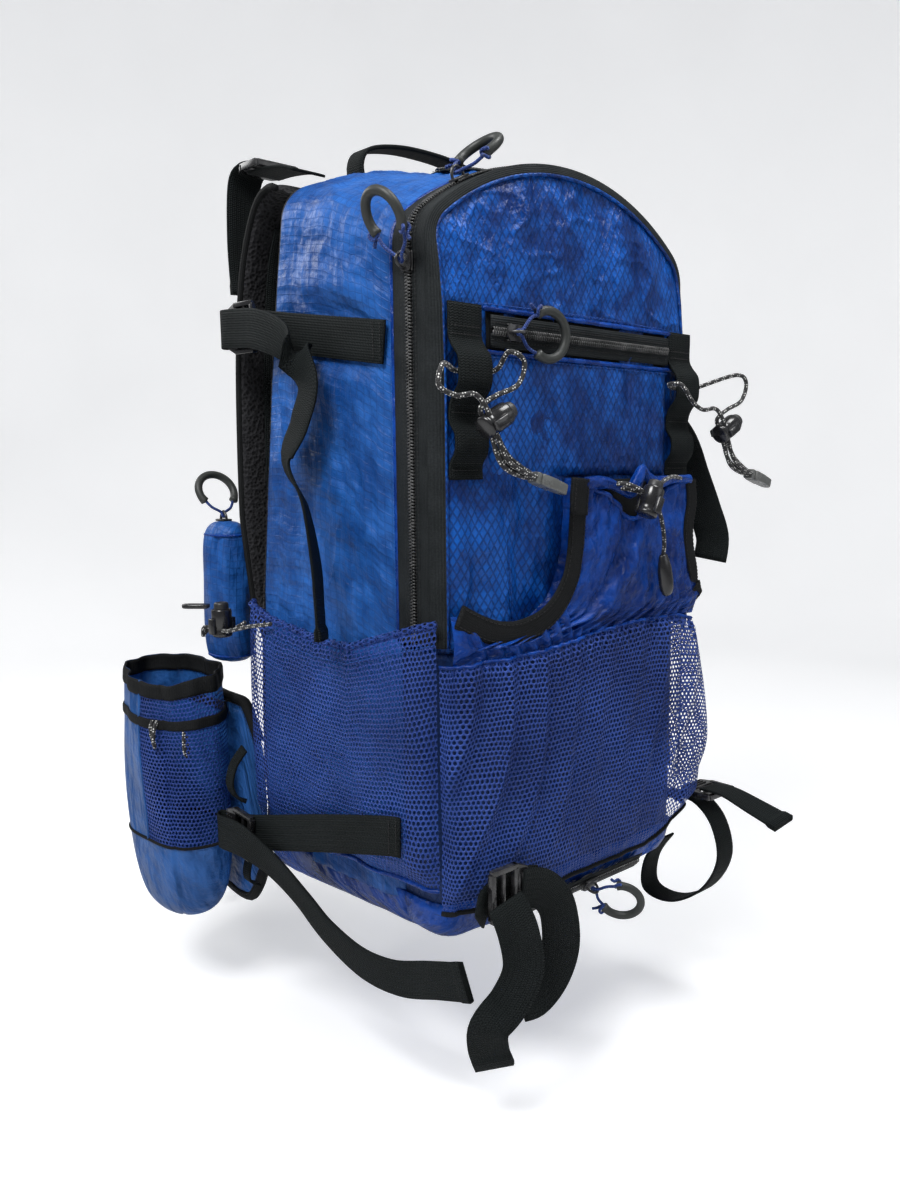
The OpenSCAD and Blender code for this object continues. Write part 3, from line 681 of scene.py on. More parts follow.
# stitch rows: pitch, stitch length, thread radius, height of the arc
BLUE_SEAM = dict(pitch=3.2, length=2.2, radius=0.28, lift=0.3, finish="thread_blue")
TAPE_SEAM = dict(pitch=2.6, length=1.8, radius=0.26, lift=0.25)
BINDING_SEAM = dict(pitch=3.0, length=2.0, radius=0.28, lift=0.3)
TACK = dict(pitch=2.2, length=1.7, radius=0.3, lift=0.3)


def stitches(name, path, normal, body, pitch, length, radius, lift, finish="thread"):
    """A row of thread arcs along a path on a surface with the given normal."""
    path = np.asarray(path, float)
    normal = np.broadcast_to(normal, path.shape)
    lengths = travelled(path)
    reach, rise = np.array([(-1, -0.1), (-0.8, 0.75), (0, 1.0), (0.8, 0.75), (1, -0.1)]).T
    centres = (np.arange(int(lengths[-1]/pitch)) + 0.5)*pitch
    spots = centres[:, None] + reach*length/2
    centre = along(path, lengths, spots)
    outward = unit(along(normal, lengths, spots))
    ahead = along(path, lengths, np.minimum(lengths[-1], spots + 0.2))
    sideways = unit(np.cross(unit(ahead - centre), outward))
    centre = centre + outward*(lift*rise)[:, None]
    thread = radius*np.where(np.abs(reach) == 1, 0.6, 1)[:, None, None]
    angle = (math.pi*np.arange(5)/4)[:, None]
    ring = sideways[:, :, None]*np.cos(angle) + outward[:, :, None]*np.sin(angle)*0.9
    faces = []
    for base in range(0, 25*len(centres), 25):
        faces += grid_faces(5, 5, offset=base)
        faces += [(k, k + 5, k + 9, k + 4) for k in range(base, base + 20, 5)]
        faces += end_faces(5, 5, base)
    piece(name, centre[:, :, None] + ring*thread, faces, finish, body)


def box(x0, x1, y0, y1, z0, z1):
    corners = [(x, y, z) for z in (z0, z1) for y in (y0, y1) for x in (x0, x1)]
    return corners, [(0, 2, 3, 1), (4, 5, 7, 6), (0, 1, 5, 4), (2, 6, 7, 3), (0, 4, 6, 2),
                     (1, 3, 7, 5)]


def prism(outline, z0, z1):
    count = len(outline)
    corners = [(x, y, z) for z in (z0, z1) for x, y in outline]
    walls = [(i, (i + 1) % count, (i + 1) % count + count, i + count) for i in range(count)]
    return corners, end_faces(count, 2) + walls


def lathe(profile, around=36):
    """A turned part from (radius, height) stations."""
    angles = [2*math.pi*k/around for k in range(around)]
    corners = [(r*math.cos(a), r*math.sin(a), z) for r, z in profile for a in angles]
    return corners, loft_faces(around, len(profile))


def solid(name, parts, finish, body="root", bevel=0, segments=3, replaces=(), frame=None):
    """A hard part made of boxes, prisms or turned parts."""
    bm = bmesh.new()
    for corners, faces in parts:
        verts = [bm.verts.new(corner) for corner in corners]
        for face in faces:
            bm.faces.new([verts[i] for i in face])
    bmesh.ops.transform(bm, matrix=frame, verts=bm.verts)
    bmesh.ops.recalc_face_normals(bm, faces=bm.faces)
    mesh = bpy.data.meshes.new(name)
    bm.to_mesh(mesh)
    bm.free()
    mesh.transform(Matrix.Scale(MILLIMETRE, 4))
    made = link_object(name, mesh, FINISHES[finish][1])
    if bevel:
        modifier = made.modifiers.new("bevel", "BEVEL")
        modifier.width = bevel*MILLIMETRE
        modifier.segments = segments
        modifier.limit_method = "ANGLE"
        modifier.angle_limit = math.radians(35)
        modifier.harden_normals = False
    register(made, body, replaces)


def roll_with_door(made):
    """Take a piece off its body, with its place baked into its mesh, for cloth between the bag and
    the door.
    """
    made.parent = None
    if "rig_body" in made:
        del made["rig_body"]
    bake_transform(made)


# ---------------------------------------------------------------- outlines of the bag
SEAM_Y = -46     # where the side cloth meets the door's zipper
ZIP_Y = -60      # middle of the main zipper
ARCH_Z = 311     # centre of the arch over the front
FRONT = dict(half_width=115.5, corner_z=423.8, corner_radius=26, arch_z=ARCH_Z,
             arch_radius=170, taper=0)
BACK = dict(half_width=122, corner_z=454.7, corner_radius=26, arch_z=226, arch_radius=274,
            taper=0.0109)
# back panel, (z, y)
BACK_PROFILE = np.array([
    (0, 106.5), (16, 107), (90, 108), (160, 106), (225, 101), (290, 93), (360, 84),
    (420, 74), (462, 66), (482, 62), (500, 57)])


def back_y(z):
    return np.interp(z, *BACK_PROFILE.T)


def arc(centre, radius, start, end, count):
    angle = np.radians(np.linspace(start, end, count))
    return coords(centre[0] + radius*np.cos(angle), centre[1] + radius*np.sin(angle))


def u_outline(shape, foot_z, offset=0.0, straight=60, arch=61):
    """Upside-down U in (x, z): left side, corner, arch, corner, right side."""
    corner_x = shape["half_width"] - shape["corner_radius"]
    corner_z, arch_z = shape["corner_z"], shape["arch_z"]
    join = math.degrees(math.atan2(corner_z - arch_z, -corner_x))
    z = np.linspace(foot_z, corner_z, straight)
    side = coords(-shape["half_width"] - offset - shape["taper"]*(corner_z - z), z)
    corner = arc((-corner_x, corner_z), shape["corner_radius"] + offset, 180, join, 13)[1:]
    top = arc((0, arch_z), shape["arch_radius"] + offset, join, 180 - join, arch + 1)[1:]
    left = np.concatenate([side, corner])
    return np.concatenate([left, top[:-1], left[::-1]*(-1, 1)])


def height_under(outline):
    """A function that gives the outline's z at any x."""
    half = outline[:len(outline)//2 + 1]
    half = half[np.argsort(half[:, 0])]
    return lambda x: np.interp(-np.abs(x), half[:, 0], half[:, 1])


# ---------------------------------------------------------------- bag body
def gusset():
    """Sides and top in one piece of cloth, from the zipper to the back panel."""
    front = u_outline(FRONT, 24, straight=130, arch=91)
    back = u_outline(BACK, 24, straight=130, arch=91)
    out = left_of(front)
    depth = rows(84)
    x = front[:, 0]*(1 - depth) + back[:, 0]*depth
    z = front[:, 1]*(1 - depth) + back[:, 1]*depth
    y = SEAM_Y + (back_y(back[:, 1]) - 2 - SEAM_Y)*depth
    wall = smooth(np.abs(front[:, 0]), 100, 112)*smooth(z, 40, 150)
    bulge = np.sin(np.pi*depth**0.85)*(3.0 + 3.5*wall)
    grid = coords(x + out[:, 0]*bulge, y, z + out[:, 1]*bulge*0.8)

    normal = unit(np.cross(np.gradient(grid, axis=1), np.gradient(grid, axis=0)))
    from_centre = grid - grid.mean(axis=(0, 1))
    normal *= np.sign(np.sum(normal*from_centre, axis=-1, keepdims=True))
    x, y, z = np.moveaxis(grid, -1, 0)
    on_side = np.abs(x) > 105

    def cinch(y0, z0, y1, z1, strength):
        """A strap pulls the cloth in; it stands out above and below."""
        t = np.clip((y - y0)/(y1 - y0), 0, 1)
        rise = z - (z0 + (z1 - z0)*t)
        shape = 0.45*np.exp(-((np.abs(rise) - 34)/14.0)**2) - np.exp(-(rise/15.0)**2)
        return on_side*np.sin(np.pi*t)*strength*shape

    pull = cinch(-44, 370, 104, 390, 4.2) + cinch(-60, 75, 102, 38, 2.5)
    middle = ripple(grid, (0.03, 0.045, 0.018), 8.2)
    # diagonal tension folds between the upper strap and the mesh pocket
    fold = np.maximum(0, np.sin((z*0.55 + y*0.9)/17.0 + 1.6*middle))**3*on_side
    fold = fold*np.exp(-((z - 300)/75.0)**2)*np.exp(-((y - 40)/60.0)**2)
    hold = np.clip(np.minimum(y - SEAM_Y, back_y(z) - y)/14.0, 0, 1)  # 0 at the seams
    relief = (pull + 2.6*ripple(grid, (0.010, 0.016, 0.008), 3.1) + 1.6*middle
              + 0.7*ripple(grid, (0.09, 0.12, 0.06), 1.4) + 2.6*fold
              + 2.2*crease(grid, (0.02, 0.045, 0.024), 4.0)
              + 1.0*crease(grid, (0.05, 0.10, 0.06), 7.0, 3.0))
    grid = grid + normal*(relief*hold)[..., None]

    # under the upper strap the cloth stays behind the webbing
    x, y, z = np.moveaxis(grid, -1, 0)
    strap_z = np.interp(y, [-40.5, 0, 50, 84, 104], [370.5, 376, 383, 388, 390])
    strap_x = np.interp(y, [-44, -40.5, 0, 50, 84, 104, 112],
                        [118.6, 119.3, 121.8, 125.4, 127.8, 129.0, 129.5]) - 0.7
    near = (1 - smooth(np.abs(z - strap_z), 13.5, 25))*(np.abs(x) > 100)*(y > SEAM_Y)
    grid[..., 0] = x - np.sign(x)*np.maximum(0, np.abs(x) - strap_x)*near
    return grid


gusset_grid = gusset()
sheet("gusset_cloth", gusset_grid, "side", thick=1.4, replaces=("side_panels", "top_panel"))
sheet("gusset_lining", gusset_grid - 2.4*unit(gusset_grid - gusset_grid.mean(axis=(0, 1))),
      "lining")


def lower_front():
    """A sheet that turns both front corners, below the door."""
    plan = spline(mirrored([(-115.5, SEAM_Y), (-115.6, -62), (-113, -76), (-104, -84),
                            (-80, -86), (0, -87)]), 6)
    plan = resample(plan, 90)
    grid = coords(plan[:, 0], plan[:, 1], np.linspace(22, 188, 40)[:, None])
    grid[..., 1] += ripple(grid, (0.03, 0.03, 0.03), 5.0)
    return grid


# the lower front cloth is painted darker, as shade, for the shadow behind the mesh pocket
sheet("lower_front_cloth", lower_front(), "painted_shade_navy", thick=1.4, replaces=("lower_front_panel",))


def back_patch():
    share = np.linspace(-1, 1, 80)
    x = 126.5*np.sin(share*math.pi/2*0.999)
    z = np.linspace(22, height_under(u_outline(BACK, 24))(x), 70)
    limit = np.interp(z, [24, BACK["corner_z"]], [126.6, BACK["half_width"]])
    grid = coords(np.sign(x)*np.minimum(np.abs(x), limit),
                  back_y(z) - 1.8*(np.abs(share) > 0.97), z)
    grid[..., 1] += 0.5*ripple(grid, (0.03, 0.03, 0.03), 2.0)
    return grid


sheet("back_cloth", back_patch(), "spacer", thick=1.6, replaces=("back_panel",), flip=True)


def base_ring(inset, z):
    half = 115.5 - inset
    front = mirrored([
        (-half, SEAM_Y), (-half, -62 + inset*0.4), (-half + 3, -74 + inset*0.6),
        (-104 + inset, -84 + inset), (-60, -85.5 + inset), (0, -86 + inset)])
    back = mirrored([
        (half + 6, 30), (127 - inset, 96 - inset*0.5), (118 - inset, 107 - inset),
        (60, 108.5 - inset), (0, 109 - inset)])
    plan = resample(spline(front + back + [(-half, SEAM_Y)], 6), 160)
    return coords(plan[:, 0], plan[:, 1], z)


def base_pan():
    # (inset, z) from the wall down and in under the bag
    stations = [(-0.6, 30), (0, 24), (1.5, 15), (5, 7.5), (11, 2.4), (19, 0.6), (40, 0.4),
                (75, 0.4)]
    rings = np.array([base_ring(inset, z) for inset, z in stations])
    last, centre = rings[-1:], rings[-1].mean(0)
    rings = np.concatenate([rings, last*0.4 + centre*0.6, last*0.02 + centre*0.98])
    sag = np.abs(ripple(rings, (0.03, 0.03, 0.05), 4.0))*1.2
    rings[..., 2] += sag*smooth(30 - rings[..., 2], 2, 14)
    return rings


sheet("base_cloth", base_pan(), "taffeta", thick=1.4, replaces=("base_panel",))

# ---------------------------------------------------------------- door cloth
# how full the door is below its top edge: (distance below it, height)
DOOR_CROWN = np.array([(0, 0.5), (4, 1.2), (10, 2.2), (27, 6.2), (52, 9.5), (87, 11),
                       (400, 11)])
door_top = height_under(u_outline(FRONT, 192, -0.6))
cloth_top = height_under(u_outline(FRONT, 192, -4.6))


def door_y(x, z):
    """The smooth front face of the door."""
    from_side = np.clip(115.0 - np.abs(x), 0, None)
    from_top = np.clip(door_top(x) - z, 0, None)
    side_share = np.sqrt(1 - (1 - np.minimum(1, from_side/13.0))**2)
    top_share = np.interp(from_top, *DOOR_CROWN.T)/11
    belly = 2.0*(1 - (x/116)**2)*np.exp(-((z - 300)/110)**2)
    return -74 - 11*side_share*top_share - belly*top_share


def on_door(x, z, lift):
    return coords(x, door_y(x, z) - lift, z)


def door_front():
    x = 110.9*np.sin(np.linspace(-math.pi/2, math.pi/2, 210)*0.999)
    z = 190 + (cloth_top(x) - 190)*(1 - (1 - rows(180))**1.25)
    grid = on_door(x, z, 0)
    edge = np.clip(np.minimum((111 - np.abs(x))/12, (cloth_top(x) - z)/10), 0, 1)
    middle = ripple(grid, (0.06, 0.05, 0.025), 2.2)
    # vertical drape on the lower left where the cloth hangs between seams
    drape = np.exp(-((x + 62)/30)**2)*smooth(330 - z, 0, 60)
    bend = ripple(grid, (0.028, 0.05, 0.045), 12.7)
    fold = (1 - np.abs(np.sin(x*0.055 + z*0.042 + 2.2*bend)))**4
    grid[..., 1] -= edge*(
        2.6*ripple(grid, (0.022, 0.02, 0.008), 6.3) + 1.3*middle
        + 0.35*ripple(grid, (0.14, 0.1, 0.07), 9.4) + 1.6*fold*smooth(z, 300, 350)
        + drape*2.6*np.sin(x/6.5 + 1.4*middle)
        + 1.0*crease(grid, (0.05, 0.03, 0.038), 21.0, 4.0)
        + 0.3*crease(grid, (0.12, 0.05, 0.10), 33.0, 3.0))
    return grid


door_grid = door_front()
sheet("door_cloth", door_grid, "front", DOOR, thick=1.3, replaces=("front_panel",))
sheet("door_lining", door_grid*(0.985, 1, 1) + (0, 3.0, 0), "lining", DOOR, flip=True)

# cloth that rolls where the door folds down
plan = resample(spline(mirrored([(-114, -60), (-112, -76), (-104, -84), (-80, -85.5),
                                 (0, -86.5)]), 5), 60)
roll_with_door(
    sheet("door_fold_cloth",
          coords(plan[:, 0], plan[:, 1] + 1.2, np.linspace(183, 194, 14)[:, None]), "front"))

# seams in (x, z), two with a shallow welt beside the stitches
for name, points, welt in (
        ("seam_front_a", [(-68, 296), (-66, 250), (-62, 205)], True),
        ("seam_front_b", [(-28, 368), (-28.5, 330), (-28, 297)], True),
        ("seam_front_c", [(-90, 391), (-30, 392), (40, 392), (100, 389)], False)):
    line = resample(spline(points), step=2.0)
    line = on_door(line[:, 0], line[:, 1], 1.5)
    if welt:
        tube(name, line, 0.55, "front", DOOR, around=6)
        line = line + (1.6, 0.2, 0)
    stitches(name + "_stitch", line, (0, -1, 0), DOOR, **BLUE_SEAM)

# ---------------------------------------------------------------- main zipper
door_edge = u_outline(FRONT, 192, straight=90)
edge_out = left_of(door_edge)
edge_lengths = travelled(door_edge)


def edge_band(name, offset, y, u, body, replaces=()):
    """Tape along the door's edge, offset outwards; u is its UV across."""
    grid = coords(door_edge[:, 0] + edge_out[:, 0]*offset, y,
                  door_edge[:, 1] + edge_out[:, 1]*offset)
    sheet(name, grid, "tape", body, thick=0.9, uv=coords(u, edge_lengths), replaces=replaces)


for name, y_out, y_in, body, lift, node in (
        ("zip_tape_bag", -45.0, -58.9, "root", 1.0, "main_zipper_bag_half"),
        ("zip_tape_door", -75.0, -61.1, DOOR, 0.9, "main_zipper_door_half")):
    y = y_out + (y_in - y_out)*rows(7)
    edge_band(name, lift + (0.9 - lift)*rows(7), y, y, body, (node,))

# the tape turns over the edge of the door and shows as a band in front of the teeth
inner = door_edge - edge_out*5.6
y = -74.8 + (door_y(inner[:, 0], inner[:, 1]) - 0.9 + 74.8)*np.sin(rows(8)*math.pi/2)
edge_band("zip_tape_door_turn", 0.9 - 6.5*rows(8), y, 15 + 9*rows(8), DOOR)
inner = door_edge - edge_out*5.2
tube("zip_welt_door", on_door(inner[:, 0], inner[:, 1], 1.1), 1.2, "front", DOOR, around=10)

TOOTH_PITCH = 1.9
TOOTH_WIDTH = 2.6
TOOTH_RADIUS = 0.62
# one coil loop from the tape to past the middle: (across, out, along as a share of pitch)
TOOTH_BAR = np.array([
    (TOOTH_WIDTH, 0.15, 0), (TOOTH_WIDTH*0.95, 0.95, 0.05), (TOOTH_WIDTH*0.4, 1.5, 0.35),
    (-0.15, 1.25, 0.5), (-0.3, 0.55, 0.5)])
TOOTH_SECTION = np.array([(-1, -0.6), (-1, 0.6), (0, 1), (1, 0.6), (1, -0.6), (0, -1)])


def teeth(name, path, normal, across, body, side):
    lengths = travelled(path)
    normal = np.broadcast_to(normal, path.shape)
    spots = np.arange(int(lengths[-1]/TOOTH_PITCH)) + (0.5 if side > 0 else 0.0)
    spots = spots*TOOTH_PITCH
    spots = spots[spots <= lengths[-1] - 0.2]
    start = along(path, lengths, spots)
    ahead = along(path, lengths, np.minimum(lengths[-1], spots + 0.5))
    forward = unit(ahead - start + 1e-9)
    outward = unit(along(normal, lengths, spots))
    reach, rise, lead = TOOTH_BAR.T[:, :, None]
    centre = (start[:, None] + reach*unit(across)*side + rise*outward[:, None]
              + lead*forward[:, None]*TOOTH_PITCH*0.35)
    wide, high = TOOTH_SECTION.T[:, :, None]*TOOTH_RADIUS
    verts = (centre[:, :, None] + forward[:, None, None]*wide*0.9
             + outward[:, None, None]*high*0.75)
    faces = [face for i in range(len(spots)) for face in loft_faces(6, 5, 30*i)]
    tidy(piece(name, verts, faces, "coil", body, coords(0, np.repeat(spots, 30))))


def edge_path(offset, y, foot_z):
    """A line round the door's edge and its outward normals."""
    line = u_outline(FRONT, foot_z, offset, straight=90)
    out = left_of(u_outline(FRONT, foot_z, straight=90))
    return coords(line[:, 0], y, line[:, 1]), coords(out[:, 0], 0, out[:, 1])


for name, body, side in (("zip_coil_bag", "root", 1), ("zip_coil_door", DOOR, -1)):
    teeth(name, *edge_path(1.0, ZIP_Y, 193), (0, 1, 0), body, side)
for name, y, body in (("a", -56.2, "root"), ("b", -53.6, "root"), ("c", -63.8, DOOR),
                      ("d", -66.4, DOOR)):
    stitches("zip_stitch_" + name, *edge_path(1.5, y, 196), body, **TAPE_SEAM)
tube("zip_welt_bag", edge_path(1.2, -44.6, 193)[0], 1.5, "taffeta", around=10)


# ---------------------------------------------------------------- other zippers
def straight_zip(name, frame, x0, x1, width, body, node):
    """Two tapes and coils along x in the zipper's own frame; +z faces out."""
    x = np.linspace(x0, x1, 50)
    axes = np.array(frame)[:3, :3]
    across, out = axes @ (0, 1.0, 0), axes @ (0, 0, 1.0)
    for side, end in ((1, "a"), (-1, "b")):
        y = side*np.linspace(1.1, 1.1 + width, 5)[:, None]
        sheet(f"{name}_tape_{end}", place(frame, coords(x, y, 0.2)), "tape", body, thick=0.8,
              uv=coords(y, x), replaces=on_left(side, node), flip=side < 0)
        teeth(f"{name}_coil_{end}", place(frame, coords(x, 0, 0.3)), out, across, body, side)
        stitches(f"{name}_stitch_{end}", place(frame, coords(x, side*(width*0.62), 0.3)), out,
                 body, **TAPE_SEAM)


def at_pocket(x):
    return move(x, -89.4, 376) @ turn(90, 0, 0)


def at_base(x):
    return move(x, -83.4, 9.5) @ turn(122, 0, 0) @ move(0, 0, 2.8)


def at_arch(angle, radius, y):
    """A frame on the arch, turned by degrees from its crown."""
    return move(0, y, ARCH_Z) @ turn(0, -angle, 0) @ move(0, 0, radius)


straight_zip("pocket_zip", at_pocket(0), -80, 86, 8.0, DOOR, "front_pocket_zipper")
straight_zip("base_zip", at_base(0), -70, 70, 6.2, "root", "base_pocket_zipper")

# top zipper, along an arch over the top cloth
TOP_ZIP_Y = -6
angle = np.radians(np.linspace(106, 62, 60))
arch_out = coords(np.cos(angle), 0, np.sin(angle))


def top_arch(radius, y):
    return coords(radius*np.cos(angle), y, ARCH_Z + radius*np.sin(angle))


for side, end in ((1, "a"), (-1, "b")):
    offset = side*np.linspace(1.1, 9, 5)[:, None]
    grid = top_arch(181.2, TOP_ZIP_Y + offset)
    grid[3:, :, 2] -= [[0.3], [1.0]]  # the outer edge dips into the seam
    sheet("top_zip_tape_" + end, grid, "tape", thick=0.8,
          uv=coords(offset, travelled(grid[0])),
          replaces=on_left(side, "top_pocket_zipper"), flip=side < 0)
    teeth("top_zip_coil_" + end, top_arch(181.3, TOP_ZIP_Y), arch_out, (0, 1, 0), "root", side)
    stitches("top_zip_stitch_" + end, top_arch(181.6, TOP_ZIP_Y + side*5.4), arch_out, "root",
             **TAPE_SEAM | {"lift": 0.2})

# ---------------------------------------------------------------- sliders and pulls
SLIDER_PLATE = [(-6, -3.4), (-3.5, -4.8), (4, -4.8), (6, -2.6), (6, 2.6), (4, 4.8),
                (-3.5, 4.8), (-6, 3.4)]


def slider(name, frame, body, node):
    parts = [prism(SLIDER_PLATE, 2.45, 3.9), prism(SLIDER_PLATE, -3.1, -1.9),
             box(3, 6, -0.6, 0.6, -2, 3)]
    parts += [box(-6, 5, y, y + 0.65, 1.5, 2.6) for y in (4.15, -4.8)]
    solid(name, parts, "metal", body, 0.35, replaces=(node,), frame=frame)
    # bail: a bent wire loop over the slider
    bail = spline([(-4.6, 0, 3.6), (-4.2, 0, 6.4), (-2.4, 0, 9.0), (0, 0, 9.9),
                   (2.4, 0, 9.0), (4.2, 0, 6.4), (4.6, 0, 3.6)], 5)
    tube(name + "_bail", place(frame, bail), 0.95, "metal", body, around=10)


def pull(name, frame, body, length, replaces=(), knots=(1, -1), radius=2.8665, swell=0.4095):
    """An open rubber ring on a cord. It swells towards one end."""
    centre = length + 14
    angle = np.radians(np.linspace(-125, 125, 60))
    ring = coords(centre + 14*np.cos(angle), 14*np.sin(angle), 0)
    share = np.abs(np.linspace(-1, 1, 60))
    tube(name, place(frame, ring), 2.9, "rubber", body, around=18, replaces=replaces,
         radii=radius + swell*np.exp(-((share - 1)/0.09)**2))
    x, y = centre - 8.03, 11.47  # an end of the ring
    half = [(x + 1.5, y + 0.5, 0.4), (x*0.55, y*0.72, 1.2), (2.5, 1.9, 0.7), (-0.9, 0.9, 0)]
    cord = half + [(a, -b, -c) for a, b, c in reversed(half)]
    tube(name + "_cord", place(frame, spline(cord, 7)), 1.05, "bluecord", body, around=10)
    for side in knots:
        knot = [(x + 2.2, y + 1.2, 0), (x + 0.4, y + 4.3, 2.4), (x - 2.0, y + 2.0, 2.9),
                (x - 0.5, y - 1.0, 0.6), (x + 1.2, y + 1.5, -2.8), (x - 1.4, y + 3.4, -2.3),
                (x - 3.6, y + 3.2, 0.6), (x - 6.6, y + 4.8, 1.6)]
        knot = spline(knot, 6)*(1, side, 1)
        tube(name + ("_knot_a" if side > 0 else "_knot_b"), place(frame, knot), 1.05,
             "bluecord", body, around=9)


# zipper, endings of slider, pull and body names, frame, slider's turn, pull's tilt, cord
# length, knots
for stem, slider_end, pull_end, node_end, spot, spin, tilt, length, knots in (
        ("main", "_left", "_left", "_l",
         move(-FRONT["half_width"], ZIP_Y, 414) @ turn(0, -90, 0), 0, -28, 10, (1, -1)),
        ("main", "_right", "_right", "_r", at_arch(27, FRONT["arch_radius"], ZIP_Y), 180, -14,
         9, (1, -1)),
        ("top", "_body", "_ring", "", at_arch(-21, 181, TOP_ZIP_Y), 0, -24, 7, (1, -1)),
        ("pocket", "_body", "_ring", "", at_pocket(-64), 180, -6, 8, (1,)),
        ("base", "_body", "_ring", "", at_base(14), 0, -50, 7, (1, -1))):
    slider(f"{stem}_slider{slider_end}", spot @ turn(0, 0, spin), f"{stem}_slide{node_end}",
           f"{stem}_slider{node_end}")
    pull(f"{stem}_pull{pull_end}", spot @ move(0, 0, 6.7) @ turn(0, tilt, 0),
         f"{stem}_swing{node_end}", length, (f"{stem}_pull{node_end}",), knots)


# ---------------------------------------------------------------- mesh pockets
def mesh_top(x):
    return np.interp(x, [-118, -100, -70, -35, 3, 45, 90, 106, 118],
                     [183, 185, 185.5, 187.5, 193, 195.5, 194, 189, 178])


def front_mesh():
    """Gathered at the top, in knife folds that sweep sideways on the way down."""
    plan = resample(spline(mirrored([(-117.5, -84), (-115.5, -94), (-104, -100),
                                     (-90, -103.2), (-40, -106)])), 260)
    lengths = travelled(plan)
    out = -left_of(plan)
    out *= np.sign(-out[:, 1:] + 1e-9)
    share = lengths/lengths[-1]
    up = rows(110)
    top = mesh_top(plan[:, 0])
    bottom = 27 + 16*smooth(plan[:, 0], 62, 116)
    z = bottom + (top - bottom)*up
    fold_sizes = np.array([noise.noise(Vector((k*0.37, 2.1, 0.4))) for k in range(60)])
    fan = share + 0.17*(1 - up)**1.5 + 0.012*np.sin(5*up + 9*share)
    phase = fan*8.6
    rest = phase - np.floor(phase)
    size = 0.75 + 0.9*fold_sizes[np.clip(np.floor(phase).astype(int) + 20, 0, 59)]
    knife = np.where(rest < 0.72, (rest/0.72)**1.5, (1 - (rest - 0.72)/0.28)**1.2)
    height = (1.6 + 4.4*smooth(up, 0.05, 0.55)*(1 - 0.45*up))*size
    edge = smooth(np.minimum(share, 1 - share), 0, 0.045)
    gather = 1.3*np.sin(2*math.pi*share*37 + 2*np.sin(9*share))*np.exp(-(top - z)/14.0)
    belly = 2.6*np.sin(math.pi*np.minimum(1, up*1.05))
    right = 10.5*np.exp(-((share - 0.93)/0.075)**2)*np.sin(math.pi*(0.12 + 0.8*up))**0.8
    tuck = -6.5*(1 - smooth(z - bottom, 0, 17)) - 3.0*smooth(z - top, -9, 0)
    offset = (height*(knife - 0.4) + gather + belly + tuck + right)*edge
    grid = coords(plan[:, 0] + out[:, 0]*offset, plan[:, 1] + out[:, 1]*offset, z)
    grid[..., 1] += (ripple(grid, (0.03, 0.03, 0.02), 1.0)
                     + 0.35*ripple(grid, (0.12, 0.1, 0.07), 6.0))
    return grid


front_mesh_grid = front_mesh()
sheet("front_pocket_mesh", front_mesh_grid, "mesh", uv=even_uv(front_mesh_grid),
      replaces=("front_mesh_pocket",))
tube("front_pocket_hem", resample(front_mesh_grid[0] + (0, -0.2, 0.6), step=3), 1.6, "bind",
     around=10)
tube("front_pocket_top_seam", resample(front_mesh_grid[-1] + (0, -0.5, -1.2), step=3), 1.1,
     "taffeta", around=10)


def side_mesh():
    """The left side pocket, gathered at its top."""
    plan = resample(spline([(-118.6, -83), (-127, -74), (-132.6, -40), (-136.6, 20),
                            (-140.4, 70), (-138.4, 98), (-130.5, 107)], 10), 150)
    lengths = travelled(plan)
    share = lengths/lengths[-1]
    forward = tangents(plan)
    out = coords(-np.abs(forward[:, 1]), forward[:, 0]*np.sign(forward[:, 1]))
    top = np.interp(plan[:, 1], [-84, -57, -14, 20, 43, 75, 107],
                    [208, 200, 187, 187, 191, 196, 203])
    up = rows(80)
    z = 42 + (top - 42)*up
    edge = from_ends(share, 0.08)
    gather = 1.3*np.sin(2*math.pi*share*19 + 1.5*np.sin(7*share))*np.exp(-(top - z)/16.0)
    pleat = 1.5*np.sin(2*math.pi*share*4.2 + up)*smooth(1 - up, 0.0, 0.9)
    tuck = -7*(1 - smooth(z, 42, 58)) - 2.6*smooth(z, top - 9, top)
    offset = (gather + pleat + tuck + 2.6*np.sin(math.pi*up))*edge
    grid = coords(plan[:, 0] + out[:, 0]*offset, plan[:, 1] + out[:, 1]*offset, z)
    grid[..., 0] += 0.9*ripple(grid, (0.03, 0.025, 0.02), 7.0)
    return grid


SIDE_CORDS = (
    ("a", [(-143.6, 62, 193), (-148, 84, 189), (-152.9, 102, 184.4), (-152.9, 108, 183.4),
           (-152.9, 130, 183.4), (-155, 137, 182.6), (-154, 141, 176)],
     ("side_pocket_cords",)),
    ("b", [(-143, 98, 190), (-146, 103, 186.4), (-148.1, 108, 183.4), (-148.1, 130, 183.4),
           (-150, 136.5, 183), (-154, 141, 176)], ()))
left_mesh_grid = side_mesh()
for side, word, _ in SIDES:
    grid = left_mesh_grid*(side, 1, 1)
    sheet("side_pocket_mesh_" + word, grid, "mesh", uv=even_uv(grid),
          replaces=on_left(side, "side_mesh_pockets"), flip=side < 0)
    tube("side_pocket_hem_" + word, resample(grid[-1], step=2.5) + (0, 0, -0.4), 2.3, "mesh")
    stitches("side_pocket_hem_stitch_" + word,
             resample(grid[-7], step=3) + (-0.5*side, 0, 0), (-side, 0, 0), "root",
             **BLUE_SEAM | {"radius": 0.3})
    tube("side_pocket_bottom_" + word, resample(grid[0], step=3) + (-0.3*side, 0, 0), 1.5,
         "taffeta", around=10)
    for end, points, nodes in SIDE_CORDS:
        tube(f"side_cord_{end}_{word}", place(mirror(side), spline(points, 7)), 1.45, "cord",
             around=10, replaces=on_left(side, *nodes))

